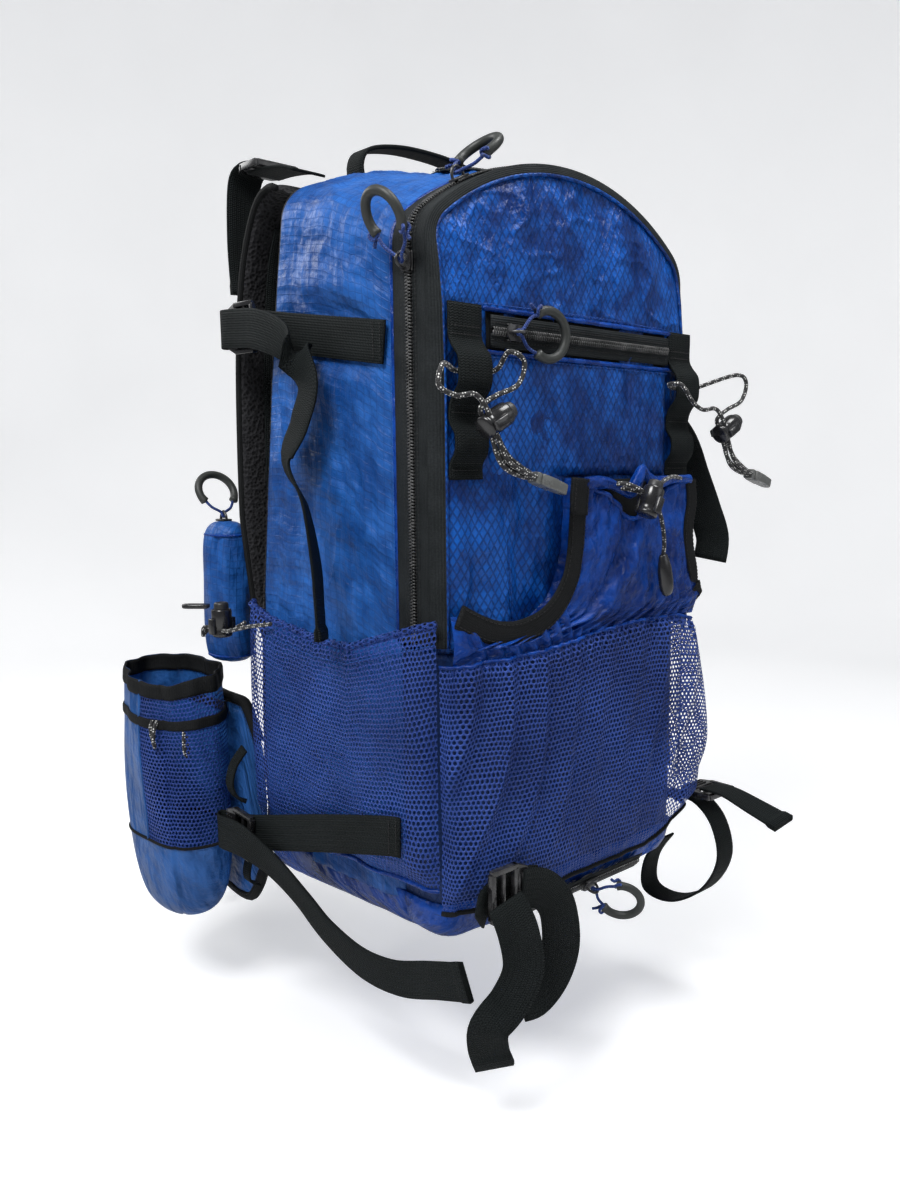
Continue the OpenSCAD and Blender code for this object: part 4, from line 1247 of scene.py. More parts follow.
# ---------------------------------------------------------------- cord locks
# (radius, height) stations
LOCK_BARREL = [
    (0.01, 0), (5.2, 0), (6.4, 0.5), (7, 1.6), (7, 3.0), (6.6, 3.5), (6.6, 7.4), (7, 8),
    (7, 18.6), (6.7, 19.6), (6.1, 20), (5.7, 19.6), (5.5, 18.8), (5.5, 9.5), (0.01, 9.5)]
LOCK_BUTTON = [
    (0.01, 13.4), (4.9, 13.4), (5.1, 13.8), (5.1, 23.2), (4.8, 24.2), (4.0, 24.75),
    (2.6, 24.8), (2.2, 24.3), (0.01, 24.2)]
LOCK_FINS = ([(-3.2, 6.2), (3.2, 6.2), (2.6, 9.4), (-2.6, 9.4)],
             [(-3.2, -6.2), (-2.6, -9.4), (2.6, -9.4), (3.2, -6.2)])


def cord_lock(name, frame, body, nodes, button, button_body, button_node):
    solid(name, [lathe(LOCK_BARREL)], "gloss", body, replaces=nodes, frame=frame)
    solid(name + "_fins", [prism(fin, 2.4, 13.6) for fin in LOCK_FINS], "gloss", body, 0.8,
          frame=frame)
    solid(button, [lathe(LOCK_BUTTON)], "matte", button_body, replaces=(button_node,),
          frame=frame)


lock_tab = [(6*math.cos(a) - 8.5, 4.5*math.sin(a))
            for a in np.linspace(math.pi/2, 1.5*math.pi, 12)]
lock_tab += [(2.0, -4.5), (4.5, -3.4), (4.5, 3.4), (2.0, 4.5)]
for side, word, letter in SIDES:
    cord_lock("side_lock_" + word, mirror(side) @ move(-150.5, 118, 178) @ turn(0, 0, 90),
              "root", on_left(side, "side_pocket_locks"), "side_lock_button_" + word,
              "side_press_" + letter, "side_button_" + letter)
    solid("side_lock_tab_" + word, [prism(lock_tab, 0, 3.0)], "gloss", bevel=0.9,
          frame=mirror(side) @ move(-163, 121, 199.4) @ turn(0, 0, -44))
cord_lock("stretch_cord_lock", move(30, -118, 266) @ turn(0, 25, 0), DOOR, ("stretch_lock",),
          "stretch_lock_button", "stretch_press", "stretch_button")

# ---------------------------------------------------------------- stretch pocket
# its bound edges in (x, z), each from the mouth down
left_band = spline([(-15, 291), (-17, 268), (-18.5, 246), (-24, 226), (-37, 210),
                    (-58, 200.5), (-84, 200), (-109, 212)], 10)
right_band = spline([(101, 288), (103, 272), (100, 258), (100.5, 244), (105, 228),
                     (112.5, 212), (118.5, 203)], 8)
# top edge: (share of the width, z)
STRETCH_LIP = np.array([
    (0, 288), (0.06, 286.5), (0.14, 284), (0.24, 279), (0.34, 271), (0.42, 264), (0.5, 263),
    (0.6, 268), (0.7, 276), (0.8, 283), (0.9, 287), (1.0, 288)])


def stretch_pocket():
    up, share = rows(100), np.linspace(0, 1, 170)
    z = 192.0 + (np.interp(share, *STRETCH_LIP.T) - 192.0)*up
    lowest = int(np.argmin(left_band[:, 1]))
    rising = left_band[:lowest + 1][::-1]
    left = np.where(z > 200.5, np.interp(z, rising[:, 1], rising[:, 0]), -58 - (200.5 - z)*5)
    right = np.interp(z, right_band[::-1, 1], right_band[::-1, 0])
    right = np.where(z < 204, 116 - (204 - z)*0.5, right)
    # gathers at the foot and the lip, soft diagonal folds between them
    foot = np.sin(2*math.pi*(share*15 + 0.25*np.sin(7*share)) + 3*up)*np.exp(-up/0.17)
    lip = np.sin(2*math.pi*(share*9) + 2.5*np.sin(5*share))*np.exp(-(1 - up)/0.16)
    slant = (share - 0.45) + 0.55*(1 - up)*0.6
    fold = (3.4*np.exp(-((slant - 0.13)/0.05)**2) - 2.6*np.exp(-((slant - 0.03)/0.05)**2)
            + 2.4*np.exp(-((share - 0.12 - 0.25*up)/0.05)**2)*up)
    puff = 5.5*np.sin(math.pi*share)**0.55*np.sin(math.pi*(0.16 + 0.78*up))
    relief = 2.0*foot + 1.5*lip + fold*np.sin(math.pi*up)**0.6
    grid = coords(left + (right - left)*share,
                  -99.0 - (puff + relief*from_ends(share, 0.07)), z)
    grid[..., 1] -= from_ends(share, 0.1)*(2.4*ripple(grid, (0.04, 0.02, 0.028), 4.4)
                                           + 1.0*ripple(grid, (0.11, 0.05, 0.08), 8.8)
                                           + 0.4*ripple(grid, (0.25, 0.1, 0.2), 2.8))
    grid[..., 1] = np.clip(grid[..., 1], -113.0, -98.2)
    return grid


stretch_grid = stretch_pocket()
sheet("stretch_cloth", stretch_grid, "taffeta", DOOR, thick=1.1, replaces=("stretch_pocket",))
tube("stretch_lip_hem", resample(stretch_grid[-1], step=2.5), 1.6, "taffeta", DOOR, around=10)
# back edge of the mouth: a soft hem that rises where the cord comes out
mouth = spline([
    (-12, -99.5, 288), (2, -99.8, 289.5), (16, -100.6, 288), (28, -102, 282.5),
    (33, -103.5, 283), (38, -104.5, 292), (43, -104, 298), (50, -102.5, 293),
    (60, -101, 288.5), (72, -100.4, 289.5), (86, -100.2, 290.5), (100, -99.6, 290)], 7)
tube("stretch_top_hem", mouth + (0, 0, -1.5), 4.6, "taffeta", DOOR, around=14,
     radii=3.6 + 0.9*np.sin(np.linspace(0, 19, len(mouth))))
# painted shade: a black sheet inside the pocket's mouth, for its dark inside
sheet("stretch_inside",
      coords(np.linspace(-12, 98, 60), -97.4, np.linspace(246, 290, 10)[:, None]), "bind",
      DOOR, thick=0.6)


def low_strip():
    """Crinkled strip between the mesh pocket and the stretch pocket."""
    x, up = np.linspace(-113, 113, 200), rows(26)
    band = left_band[40:]
    band = band[np.argsort(band[:, 0])]
    top = np.where(x < -22, np.interp(x, band[:, 0], band[:, 1]), 200.0)
    bottom = mesh_top(x) - 7
    fade = smooth(np.minimum(x + 113, 113 - x), 2, 26)
    front = -86.5 - 12.0*np.sqrt(np.clip(1 - (x/114.5)**2, 0, 1))**0.8
    crinkle = np.sin(2*math.pi*(x/10.5 + 0.5*np.sin(x/23)) + (0.55 - up)*5.5*np.sign(x + 20))
    swell = np.sin(math.pi*up)
    grid = coords(x, front - 1.9*crinkle*fade*(0.45 + 0.55*swell) - 3.0*swell,
                  bottom + (top - bottom)*up)
    grid[..., 1] -= fade*(1.1*ripple(grid, (0.08, 0.05, 0.12), 5.5)
                          + 0.5*ripple(grid, (0.2, 0.1, 0.25), 1.5))
    grid[..., 1] = np.maximum(grid[..., 1], -103.5)
    return grid


roll_with_door(sheet("stretch_lower_cloth", low_strip(), "taffeta"))

# section of a folded binding: (across, out) as shares of width and thickness
BINDING_SECTION = np.array([
    (-0.5, 0), (-0.49, 0.42), (-0.40, 0.8), (-0.2, 1), (0, 1.03), (0.2, 1), (0.40, 0.8),
    (0.49, 0.42), (0.5, 0), (0.4, -0.5), (0, -0.6), (-0.4, -0.5)])


def ribbon(name, outline, width, depth_at, thick, replaces=(), seed=0.0):
    """Binding folded over an edge in (x, z). depth_at gives its y from x."""
    line = resample(outline, step=2.0)
    out = left_of(line)
    lengths = travelled(line)
    y = depth_at(line[:, 0])
    wobble = 0.5*ripple(coords(line[:, 0], line[:, 1], lengths), (0.05, 0.05, 0.05), seed, 1)
    across, rise = BINDING_SECTION.T

    def offset(share, height):
        return coords(line[:, :1] + out[:, :1]*share*width, (y - wobble)[:, None] - height*thick,
                      line[:, 1:] + out[:, 1:]*share*width)

    loft(name, offset(across, rise), "bind", DOOR, replaces,
         coords(across*width, lengths[:, None]))
    for end, share in (("_st_a", 0.36), ("_st_b", -0.36)):
        stitches(name + end, offset(share, 0.92)[:, 0], (0, -1, 0), DOOR, **BINDING_SEAM)


ribbon("stretch_binding_left", left_band, 15, lambda x: -100.3 + 8*smooth(-x, 70, 108), 1.8,
       ("stretch_pocket_binding",))
ribbon("stretch_binding_left_fold", left_band[:11], 16, lambda x: -101.6, 1.9, seed=2.0)
ribbon("stretch_binding_right", right_band, 11, lambda x: -100.6 + 5*smooth(x, 104, 118), 1.6,
       seed=5.0)
ribbon("stretch_binding_right_fold", right_band[-9:], 13,
       lambda x: -101.8 + 5*smooth(x, 104, 118), 1.9, seed=3.0)
# the side walls from the bands back to the door
for word, band, bow in (("left", left_band[:52], 1.5), ("right", right_band, -1.5)):
    x, z = resample(band, 60).T
    inward = rows(8)
    sheet("stretch_wall_" + word,
          coords(x + bow*np.sin(math.pi*inward), -99.8 + (door_y(x, z) + 99.8)*inward, z),
          "taffeta", DOOR)
# drawcord in three runs
for end, points, per_span, nodes in (
        ("", [(20, -101.5, 284), (28, -107, 283), (38, -113, 279), (46, -115.5, 270),
              (52, -115, 258), (56, -113.5, 246), (57, -112, 238)], 7, ("stretch_cord",)),
        ("_b", [(16, -101, 286), (22, -107, 287), (30, -113, 283), (36, -117, 276),
                (34, -118, 272)], 6, ()),
        ("_c", [(96, -99, 288), (74, -106, 291), (52, -113, 287), (40, -117, 277),
                (34, -118, 271)], 6, ())):
    tube("stretch_drawcord" + end, spline(points, per_span), 1.5, "cord", DOOR,
         replaces=nodes)
cord_end = [(0.01, -0.4), (2.8, -0.4), (3.4, 0.2), (4.8, 5), (5.8, 9), (6.1, 19), (5.6, 24),
            (4.2, 27.4), (2.4, 28.8), (0.01, 29.2)]
solid("stretch_cord_end", [lathe(cord_end)], "gloss", DOOR,
      frame=move(57, -112, 238.4) @ turn(0, 168, 0) @ Matrix.Diagonal((1, 0.72, 1, 1)))


# ---------------------------------------------------------------- zipped front pocket
def pocket_panel():
    x, z = np.linspace(-80, 88, 90), np.linspace(292, 365, 46)[:, None]
    inside = np.minimum(np.minimum(x + 80, 88 - x), np.minimum(z - 292, 365 - z))
    edge = np.minimum(1, inside/5.0)
    grid = coords(x, door_y(x, z) - 0.5 - 2.0*edge**0.6, z)
    grid[..., 1] -= 0.9*ripple(grid, (0.05, 0.03, 0.03), 2.0)*edge
    return grid


sheet("front_pocket_cloth", pocket_panel(), "front", DOOR, thick=1.1,
      replaces=("front_pocket_panel",))
for word, z in (("upper", 388.5), ("lower", 364.0)):
    tube("pocket_piping_" + word, on_door(np.linspace(-84, 90, 60), z, 2.4), 1.5, "taffeta",
         DOOR)
sheet("pocket_zip_bed",
      on_door(np.linspace(-81, 87, 40), np.linspace(365, 388, 6)[:, None], 0.9), "bind", DOOR,
      thick=0.8)
for end, z, lift in (("a", 391.5, 1.4), ("b", 361.2, 2.8)):
    stitches("pocket_stitch_" + end, on_door(np.linspace(-82, 88, 60), z, lift), (0, -1, 0),
             DOOR, **BLUE_SEAM)

# ---------------------------------------------------------------- daisy chains
DAISY_X = {"left": -98, "right": 101.5}
# webbing that stands off in two loops, (y, z)
DAISY_PROFILE = [
    (-86.6, 390), (-86.8, 384), (-86.9, 372), (-90, 366), (-95, 360), (-96, 352), (-95, 344),
    (-90, 338), (-87.4, 332), (-87.2, 324), (-92, 317), (-92, 307), (-87.2, 300),
    (-86.9, 294), (-87.4, 291)]
for side, word, _ in SIDES:
    x = DAISY_X[word]
    strap("daisy_" + word, [(x, y, z) for y, z in DAISY_PROFILE], (1, 0, 0), thick=1.9,
          body=DOOR, replaces=on_left(side, "daisy_chains"), step=2.2)
    for z in (377, 372.5, 333, 329, 296.5, 300.5):
        stitches(f"daisy_tack_{word}_{int(z*10)}",
                 coords(np.linspace(x - 11.5, x + 11.5, 8), -88.1, z), (0, -1, 0), DOOR,
                 **TACK | {"lift": 0.35})

# ---------------------------------------------------------------- tool cords
TOOL_Y = -107.5
# the cord's leg from above the lock to the hook, (x from the lock, z)
TOOL_LEG = [(-4.7, 330.8), (0, 322), (4.7, 313.2), (8.5, 306), (14, 300.4), (24, 295.6),
            (35, 292.2)]


def tool_path(chain, lock):
    """Up from the hook, through the daisy chain at x = chain and back down."""
    def leg(y):
        return [(lock + x, y, z) for x, z in TOOL_LEG]

    y = TOOL_Y
    loop = [
        (lock - 12, y - 1, 338), (lock - 24, y + 1, 337), (lock - 35, y + 2, 342),
        ((chain + lock)/2 - 30, y + 5, 353), (chain - 19, -94.5, 354),
        (chain - 12, -91.2, 352), (chain, -91.2, 352), (chain + 12, -91.2, 352),
        (chain + 18, -95, 354.5), (lock + 17, y + 2, 363), (lock + 27, y, 358),
        (lock + 23, y + 1, 345), (lock + 6, y + 1.5, 338)]
    return spline(leg(y - 2.4)[::-1] + loop + leg(y + 2.4))


def hook(name, frame, body):
    def block(half, z0, z1):
        return prism([(-3.5, -half), (3.5, -half), (3.5, half), (-3.5, half)], z0, z1)

    solid(name, [block(4.2, -1, 3), block(5.2, 3, 17)], "hook", body, 1.1, 4, frame=frame)
    nose = [(4.2*math.cos(a), 24 + 4.2*math.sin(a)) for a in np.linspace(0, math.pi, 14)]
    corners, faces = prism([(-5.2, 14), (5.2, 14), (4.6, 22)] + nose + [(-4.6, 22)], -3.3, 3.3)
    solid(name + "_tip", [([(z, x, y) for x, y, z in corners], faces)], "hook", body, 1.1, 4,
          frame=frame)


for (side, word, letter), shift in zip(SIDES, (0, 28)):
    body = "tool_" + letter
    lock_x = DAISY_X[word] + shift
    tube("tool_cord_" + word, tool_path(DAISY_X[word], lock_x), 1.5, "cord", body,
         replaces=("tool_cord_" + letter,))
    lower = spline([(lock_x + x, TOOL_Y, z) for x, z in TOOL_LEG[1:]])
    bow = np.sin(np.linspace(0, math.pi, len(lower)))[:, None]**0.6
    for end, sign in (("a", 1), ("b", -1)):
        tube(f"tool_cord_strand_{word}_{end}", lower + bow*sign*(1.9, 0, 3.0), 1.5, "cord",
             body)
    hook("tool_hook_" + word, move(lock_x + 35.3, TOOL_Y, 292.1) @ turn(0, 107, 0), body)
    cord_lock("tool_cord_lock_" + word,
              move(lock_x, TOOL_Y, 322) @ turn(0, 62, 0) @ move(0, 0, -5.4),
              "tool_grip_" + letter, ("tool_lock_" + letter,), "tool_lock_button_" + word,
              "tool_press_" + letter, "tool_button_" + letter)

# ---------------------------------------------------------------- webbing
# strap stations: x, y, z of the path, then its width direction; all for the left side
UPPER_START = [
    (-120.6, -40.5, 370.5, 0, -0.14, 1), (-123.2, 0, 376, 0, -0.14, 1),
    (-126.8, 50, 383, 0, -0.14, 1), (-129.2, 84, 388, 0, -0.14, 1),
    (-130.4, 104, 390, 0, 0, 1), (-135, 121.5, 390, 0, 0, 1), (-141.4, 115, 390, 0, 0, 1),
    (-140.6, 96, 389, 0, 0, 1), (-139.8, 70, 386, 0, 0.15, 1)]
LOWER_START = [
    (-133.4, -64, 75, 0, 0.2, 1), (-135.4, -52, 73.5, 0, 0.2, 1), (-142, 0, 62, 0, 0.2, 1),
    (-147, 50, 49.5, 0, 0.2, 1), (-149.8, 80, 42, 0, 0.2, 1), (-150.6, 102, 37.6, 0, 0, 1),
    (-156, 121, 37, 0, 0, 1), (-162.4, 113.5, 37, 0, 0, 1), (-161.4, 92, 38, 0, 0, 1),
    (-158, 76, 34, 0, -0.5, 0.9)]
# the loose ends hang differently on each side
UPPER_TAIL = {
    "left": [
        (-138.5, 38, 374, -0.1, 0.6, 0.8), (-139, 14, 350, 0.1, 1, 0.1),
        (-141, 22, 325, 0.1, 0.95, -0.1), (-142.5, 36, 302, 0.3, 0.9, 0.1),
        (-142.5, 16, 274, 0.6, 0.8, 0), (-145, 2, 240, 0.69, 0.72, 0),
        (-148.5, -6, 214, 0.69, 0.72, 0), (-149.5, -9, 192, 0.69, 0.72, 0)],
    "right": [
        (-140.5, 36, 377, 0, -0.3, 0.95), (-142, 0, 362, 0, -0.45, 0.9),
        (-142.5, -34, 342, -0.05, -0.65, 0.75), (-142, -60, 318, -0.2, -0.9, 0.35),
        (-146, -70, 290, -0.5, -0.85, 0.05), (-155, -75, 265, -0.72, -0.69, 0),
        (-163, -78, 243, -0.72, -0.69, 0), (-159, -79, 226, -0.72, -0.69, 0)]}
LOWER_TAIL = {
    "left": [
        (-150, 58, 22, 0, -0.8, 0.6), (-140, 40, 2, 0, -0.9, 0.4),
        (-132, 22, -18, -0.1, -0.6, 0.8), (-129, -13, -28, -0.1, -0.1, 1),
        (-126.5, -48, -26, -0.1, 0.1, 1), (-123.5, -82, -15, -0.1, 0.2, 1),
        (-121, -110, -6, -0.1, 0.3, 1)],
    "right": [
        (-150, 60, 20, 0, -0.8, 0.6), (-144, 50, 0, 0, -0.95, 0.3),
        (-140, 44, -24, 0, -1, 0), (-139, 41, -48, 0, -1, 0), (-140, 39, -66, 0, -1, 0)]}
# tacks at a strap's start: first and second place, normal
TACKS = (("up", ((-120.8, -38.5, 371), (-121.2, -32, 372)), (-1, 0)),
         ("lo", ((-134.0, -62, 75), (-135.0, -56, 74)), (-1, -0.2)))
# short straps: name, path, width direction (not mirrored), width, fold, replaced nodes
SHORT_STRAPS = (
    ("lifter", [(-100, 66, 489), (-100, 82, 494), (-100, 104, 497), (-100, 124, 498)],
     (1, 0, 0), 25.4, 0, ("harness_webbing",)),
    ("lifter_tail", [(-100, 124, 505.2), (-100.5, 137, 505), (-103, 146, 494),
                     (-104, 148.5, 455), (-103, 148, 420)], (1, 0, 0), 25.4, 8, ()),
    ("lower_harness", [(-90, 125.5, 147), (-90, 122.4, 136), (-89, 121.6, 116),
                       (-85, 122.4, 90), (-82, 121.5, 58)], (1, 0, 0), 25.4, 8, ()),
    ("tab_upper", [(-119.5, 112, 388), (-124, 112, 389), (-127.4, 108, 390)],
     (0, 0, 1), 24, 0, ("webbing_loops",)),
    ("tab_mid", [(-143, 108, 96), (-150, 112, 84), (-153, 113, 70), (-149, 112, 60),
                 (-143, 108, 56)], (0, 1, 0.1), 10, 0, ()),
    ("tab_low", [(-131, 112.5, 16), (-140, 114, 8), (-142, 114, -6), (-134, 112.5, -12)],
     (0, 1, 0), 10, 0, ()))
for side, word, _ in SIDES:
    for name, stations, nodes in (
            ("upper_strap_", UPPER_START + UPPER_TAIL[word], ("compression_straps",)),
            ("lower_strap_", LOWER_START + LOWER_TAIL[word], ())):
        stations = np.array(stations)*(side, 1, 1, side, 1, 1)
        strap(name + word, stations[:, :3], stations[:, 3:], thick=1.6,
              replaces=on_left(side, *nodes), fold=9)
    for name, spots, (normal_x, normal_y) in TACKS:
        for j, (x, y, z) in enumerate(spots):
            stitches(f"tack_{name}_{word}_{j}",
                     coords((x - 0.9)*side, y, z + np.linspace(-11, 11, 8)),
                     (normal_x*side, normal_y, 0), "root", **TACK)
    for name, path, across, width, fold, nodes in SHORT_STRAPS:
        strap(f"{name}_{word}", np.array(path)*(side, 1, 1), across, width,
              replaces=on_left(side, *nodes), fold=fold)

# straps below the front: stations as above, width, fold
BOTTOM_STRAPS = (
    ([(-112, -112, 30, 0, 0, 1), (-104, -108.2, 38, 0, 0, 1), (-92, -108, 42, 0, 0, 1),
      (-76, -108, 43, 0, 0, 1), (-62, -108.6, 40, 0.1, 0, 1)], 20, 0),
    ([(-80, -116, 42, 0.1, 0, 1), (-64, -117, 38, 0.4, 0, 0.8),
      (-50, -116.5, 22, 0.9, -0.3, 0.3), (-44, -115, -4, 0.8, -0.5, 0),
      (-46, -112, -26, 0.8, -0.4, -0.4), (-60, -110, -38, 0.5, -0.5, -0.8),
      (-74, -108, -38, 0.2, -0.6, -0.8)], 25.4, 0),
    ([(-96, -117.6, 40, 0.9, -0.02, 0.4), (-92, -124.5, 22, 0.8, -0.5, 0.1),
      (-88, -125, -4, 0.72, -0.69, 0), (-96, -121, -24, 0.65, -0.69, -0.3),
      (-110, -118.5, -36, 0.65, -0.6, -0.5), (-108, -115, -52, 0.72, -0.69, 0.1),
      (-101, -113, -68, 0.72, -0.69, 0.1)], 25.4, 9),
    ([(130, -60, 40, 1, 0, 0), (131, -76, 42, 1, 0, 0), (134, -94, 42.5, 1, 0, 0),
      (134, -112, 28, 1, 0, 0), (132, -120, 2, 1, 0, 0), (131, -106, -26, 1, 0, 0),
      (130, -78, -44, 1, 0, 0), (130, -52, -42, 1, 0, 0), (130, -52, -18, 1, 0, 0),
      (130, -66, 4, 1, 0, 0)], 20, 0),
    ([(136, -100, 52.6, 1, 0, 0), (134, -120, 54, 1, 0, 0.05), (130, -146, 50, 1, 0, 0.2),
      (127, -172, 45, 1, 0, 0.3)], 20, 8))
for i, (stations, width, fold) in enumerate(BOTTOM_STRAPS):
    stations = np.array(stations)
    strap(f"bottom_strap_{i}", stations[:, :3], stations[:, 3:], width,
          replaces=("bottom_straps",) if i == 0 else (), fold=fold)
haul = mirrored([(-56, 490), (-58, 503), (-51, 513.5), (-27, 519.5), (0, 521)])
strap("haul_webbing", [(x, 73, z) for x, z in haul], (0, 1, 0), 18, 2.8, "haul",
      ("haul_loop",))


# ---------------------------------------------------------------- ladder locks
def ladder_lock(name, frame, replaces=()):
    parts = [box(-12.5, 8.5, y, y + 3.4, 0, 4.4) for y in (13.6, -17)]
    parts += [box(-13.5, -10, -15, 15, 0, 4.4), box(-4, -1.5, -14, 14, 0.2, 3.6),
              prism([(5.5, -17), (8, -17), (17, -13), (17, 13), (8, 17), (5.5, 17)], 0, 4.0)]
    parts += [box(x, x + 1.2, -10, 10, 3.8, 4.9) for x in (8.6, 11.4, 14.2)]  # grip ribs
    solid(name, parts, "gloss", bevel=0.7, replaces=replaces, frame=frame)


on_edge = turn(0, 0, 5) @ turn(90, 0, -90)
for i, spot in enumerate((
        move(-132.6, 98, 390) @ on_edge @ turn(0, 0, 180),
        move(-152.8, 96, 38.6) @ on_edge @ turn(0, 0, 172),
        move(-100, 118, 499) @ turn(0, 0, 90),
        move(-90, 128, 118) @ turn(8, 0, 0) @ turn(-90, 0, 0) @ turn(0, 0, 90))):
    for side, word, _ in SIDES:
        ladder_lock(f"ladder_lock_{i}_{word}", mirror(side) @ spot,
                    on_left(side, "ladder_locks") if i == 0 else ())
ladder_lock("ladder_lock_bottom_left", move(-90, -110, 42) @ turn(90, 0, 0))
ladder_lock("ladder_lock_bottom_right", move(141, -97, 46) @ turn(0, 0, 90))


# ---------------------------------------------------------------- pouch at the back left
def oval(centre, radius_x, radius_y, count, power=1.0):
    """A closed oval in plan. A power below 1 makes it squarer."""
    angle = np.linspace(0, 2*math.pi, count)
    x, y = np.cos(angle), np.sin(angle)
    return coords(centre[0] + np.sign(x)*np.abs(x)**power*radius_x,
                  centre[1] + np.sign(y)*np.abs(y)**power*radius_y)


POUCH_CENTRE = np.array([-121, 162])
# (z, size)
POUCH_STATIONS = [
    (150.5, 0.03), (151, 0.5), (153.5, 0.8), (159, 0.94), (175, 1.03), (200, 1.06),
    (222, 1.02), (238, 0.95), (248, 0.84), (253.5, 0.66), (256.3, 0.42), (257.0, 0.03)]


def pouch_ring(z, size):
    angle = np.linspace(0, 2*math.pi, 72)
    ring = oval(POUCH_CENTRE, 17*size, 21*size, 72, 0.92)
    dent = np.exp(-((np.mod(angle, 2*math.pi) - 3.7)/0.16)**2)*(1 if 165 < z < 246 else 0.3)
    wave = 1.1*np.sin(3*angle + z/22)*min(1, size) - 2.4*dent
    ring = ring + unit(ring - POUCH_CENTRE)*wave[:, None]
    return coords(ring[:, 0], ring[:, 1], z)


sheet("pouch_cloth", [pouch_ring(z, size) for z, size in spline(POUCH_STATIONS, 4)], "side",
      replaces=("zip_pouch",))
for end, z, share_x, share_y in (("a", 247.0, 0.84, 0.86), ("b", 156.0, 0.9, 0.9)):
    ring = oval(POUCH_CENTRE, 17.6*share_x, 21.4*share_y, 60)
    tube("pouch_piping_" + end, coords(ring[:, 0], ring[:, 1], z), 1.0, "taffeta", around=8,
         capped=False)
pouch_zip = move(-121, 165, 258.6) @ turn(0, 0, 90)
solid("pouch_slider_body", [prism(SLIDER_PLATE, -1.8, -0.3), box(-3, 3, -0.7, 0.7, -6.2, -1.2)],
      "metal", "pouch_slide", 0.35, replaces=("pouch_slider",), frame=pouch_zip)
bail = spline([(-4.2, 0, -0.6), (-3.8, 0, 2.2), (0, 0, 5.6), (3.8, 0, 2.2), (4.2, 0, -0.6)], 5)
tube("pouch_slider_bail", place(pouch_zip, bail), 0.95, "metal", "pouch_slide", around=10)
pull("pouch_pull_ring", pouch_zip @ move(0, 0, 2.5) @ turn(0, -62, 0), "pouch_slide", 6,
     knots=(), radius=2.87, swell=0.4)


# ---------------------------------------------------------------- harness
def padded(path, outer_x, inner_x, thick):
    """Rings of a rounded slab. path is in (y, z); outer_x and inner_x give x from z."""
    line = resample(path, step=6)
    out = left_of(line)
    y, z = line[:, :1], line[:, 1:]
    index = np.arange(len(line))
    from_end = np.minimum(index, index[::-1])[:, None]
    taper = np.sin(math.pi/2*np.minimum(1, (from_end + 0.25)/6))
    angle = np.linspace(0, 2*math.pi, 60, endpoint=False)
    across = np.sign(np.cos(angle))*np.abs(np.cos(angle))**0.35
    rise = np.sign(np.sin(angle))*np.abs(np.sin(angle))**0.75
    left, right = outer_x(z), inner_x(z)
    offset = thick/2*rise*taper
    return coords((left + right)/2 + (right - left)/2*across*(0.72 + 0.28*taper),
                  y + out[:, :1]*offset, z + out[:, 1:]*offset)


SHOULDER_PATH = spline([(70, 474), (84, 480), (104, 470), (122, 434), (131, 380), (134, 320),
                        (134, 260), (131, 200), (127, 150)])  # (y, z)


def shoulder_inner(z):
    return np.interp(z, [150, 180, 240, 400, 480], [-77, -69, -63, -63, -65])


def shoulder_outer(z):
    return np.interp(z, [150, 190, 260, 400, 480], [-103, -117, -122, -120.5, -119])


shoulder = padded(SHOULDER_PATH, shoulder_outer, shoulder_inner, 10.5)
for side, word, _ in SIDES:
    loft("shoulder_strap_" + word, shoulder*(side, 1, 1), "spacer",
         replaces=on_left(side, "shoulder_straps"))
shoulder_line = resample(SHOULDER_PATH, step=4)
for side, word, _ in SIDES:
    y, z = shoulder_line[2:-2].T
    for name, edge_x in (("in", shoulder_inner), ("out", shoulder_outer)):
        tube(f"strap_binding_{name}_{word}", coords(edge_x(z)*side, y, z), 2.4, "bind",
             around=10)
    line = shoulder_line[12:-14]
    y, z = (line - left_of(line)*6.6)[::5].T
    strap("strap_webbing_" + word,
          coords((shoulder_inner(z) + shoulder_outer(z))/2*side, y, z), (1, 0, 0))


def back_pad(z0, z1, count, x0, x1):
    z = np.linspace(z0, z1, count)
    return padded(coords(back_y(z) + 6.2, z), lambda _: x0, lambda _: x1, 11)


for side, word, _ in SIDES:
    loft("back_pad_" + word, back_pad(238, 434, 40, -97, -15)*(side, 1, 1), "spacer",
         replaces=on_left(side, "back_pads"))
loft("lumbar_pad", back_pad(64, 202, 30, -95, 95), "spacer")


def inner_sheet(name, inset, half_width, z0, z1, finish, node, thick):
    """A sheet inside the back panel, with corners rounded to 20 mm."""
    x = np.linspace(-half_width, half_width, 40)
    into_corner = np.maximum(0, np.abs(x) - (half_width - 20))
    cut = 20 - np.sqrt(np.maximum(0, 400 - into_corner**2))
    z = np.linspace(z0 + cut, z1 - cut, 60)
    sheet(name, coords(x, back_y(z) - inset, z), finish, thick=thick, replaces=(node,),
          flip=True)


inner_sheet("stiffener", 5.5, 99, 32, 448, "sheet", "frame_sheet", 1.4)
inner_sheet("sleeve_cloth", 12.5, 84, 150, 438, "lining", "hydration_sleeve", 1.0)


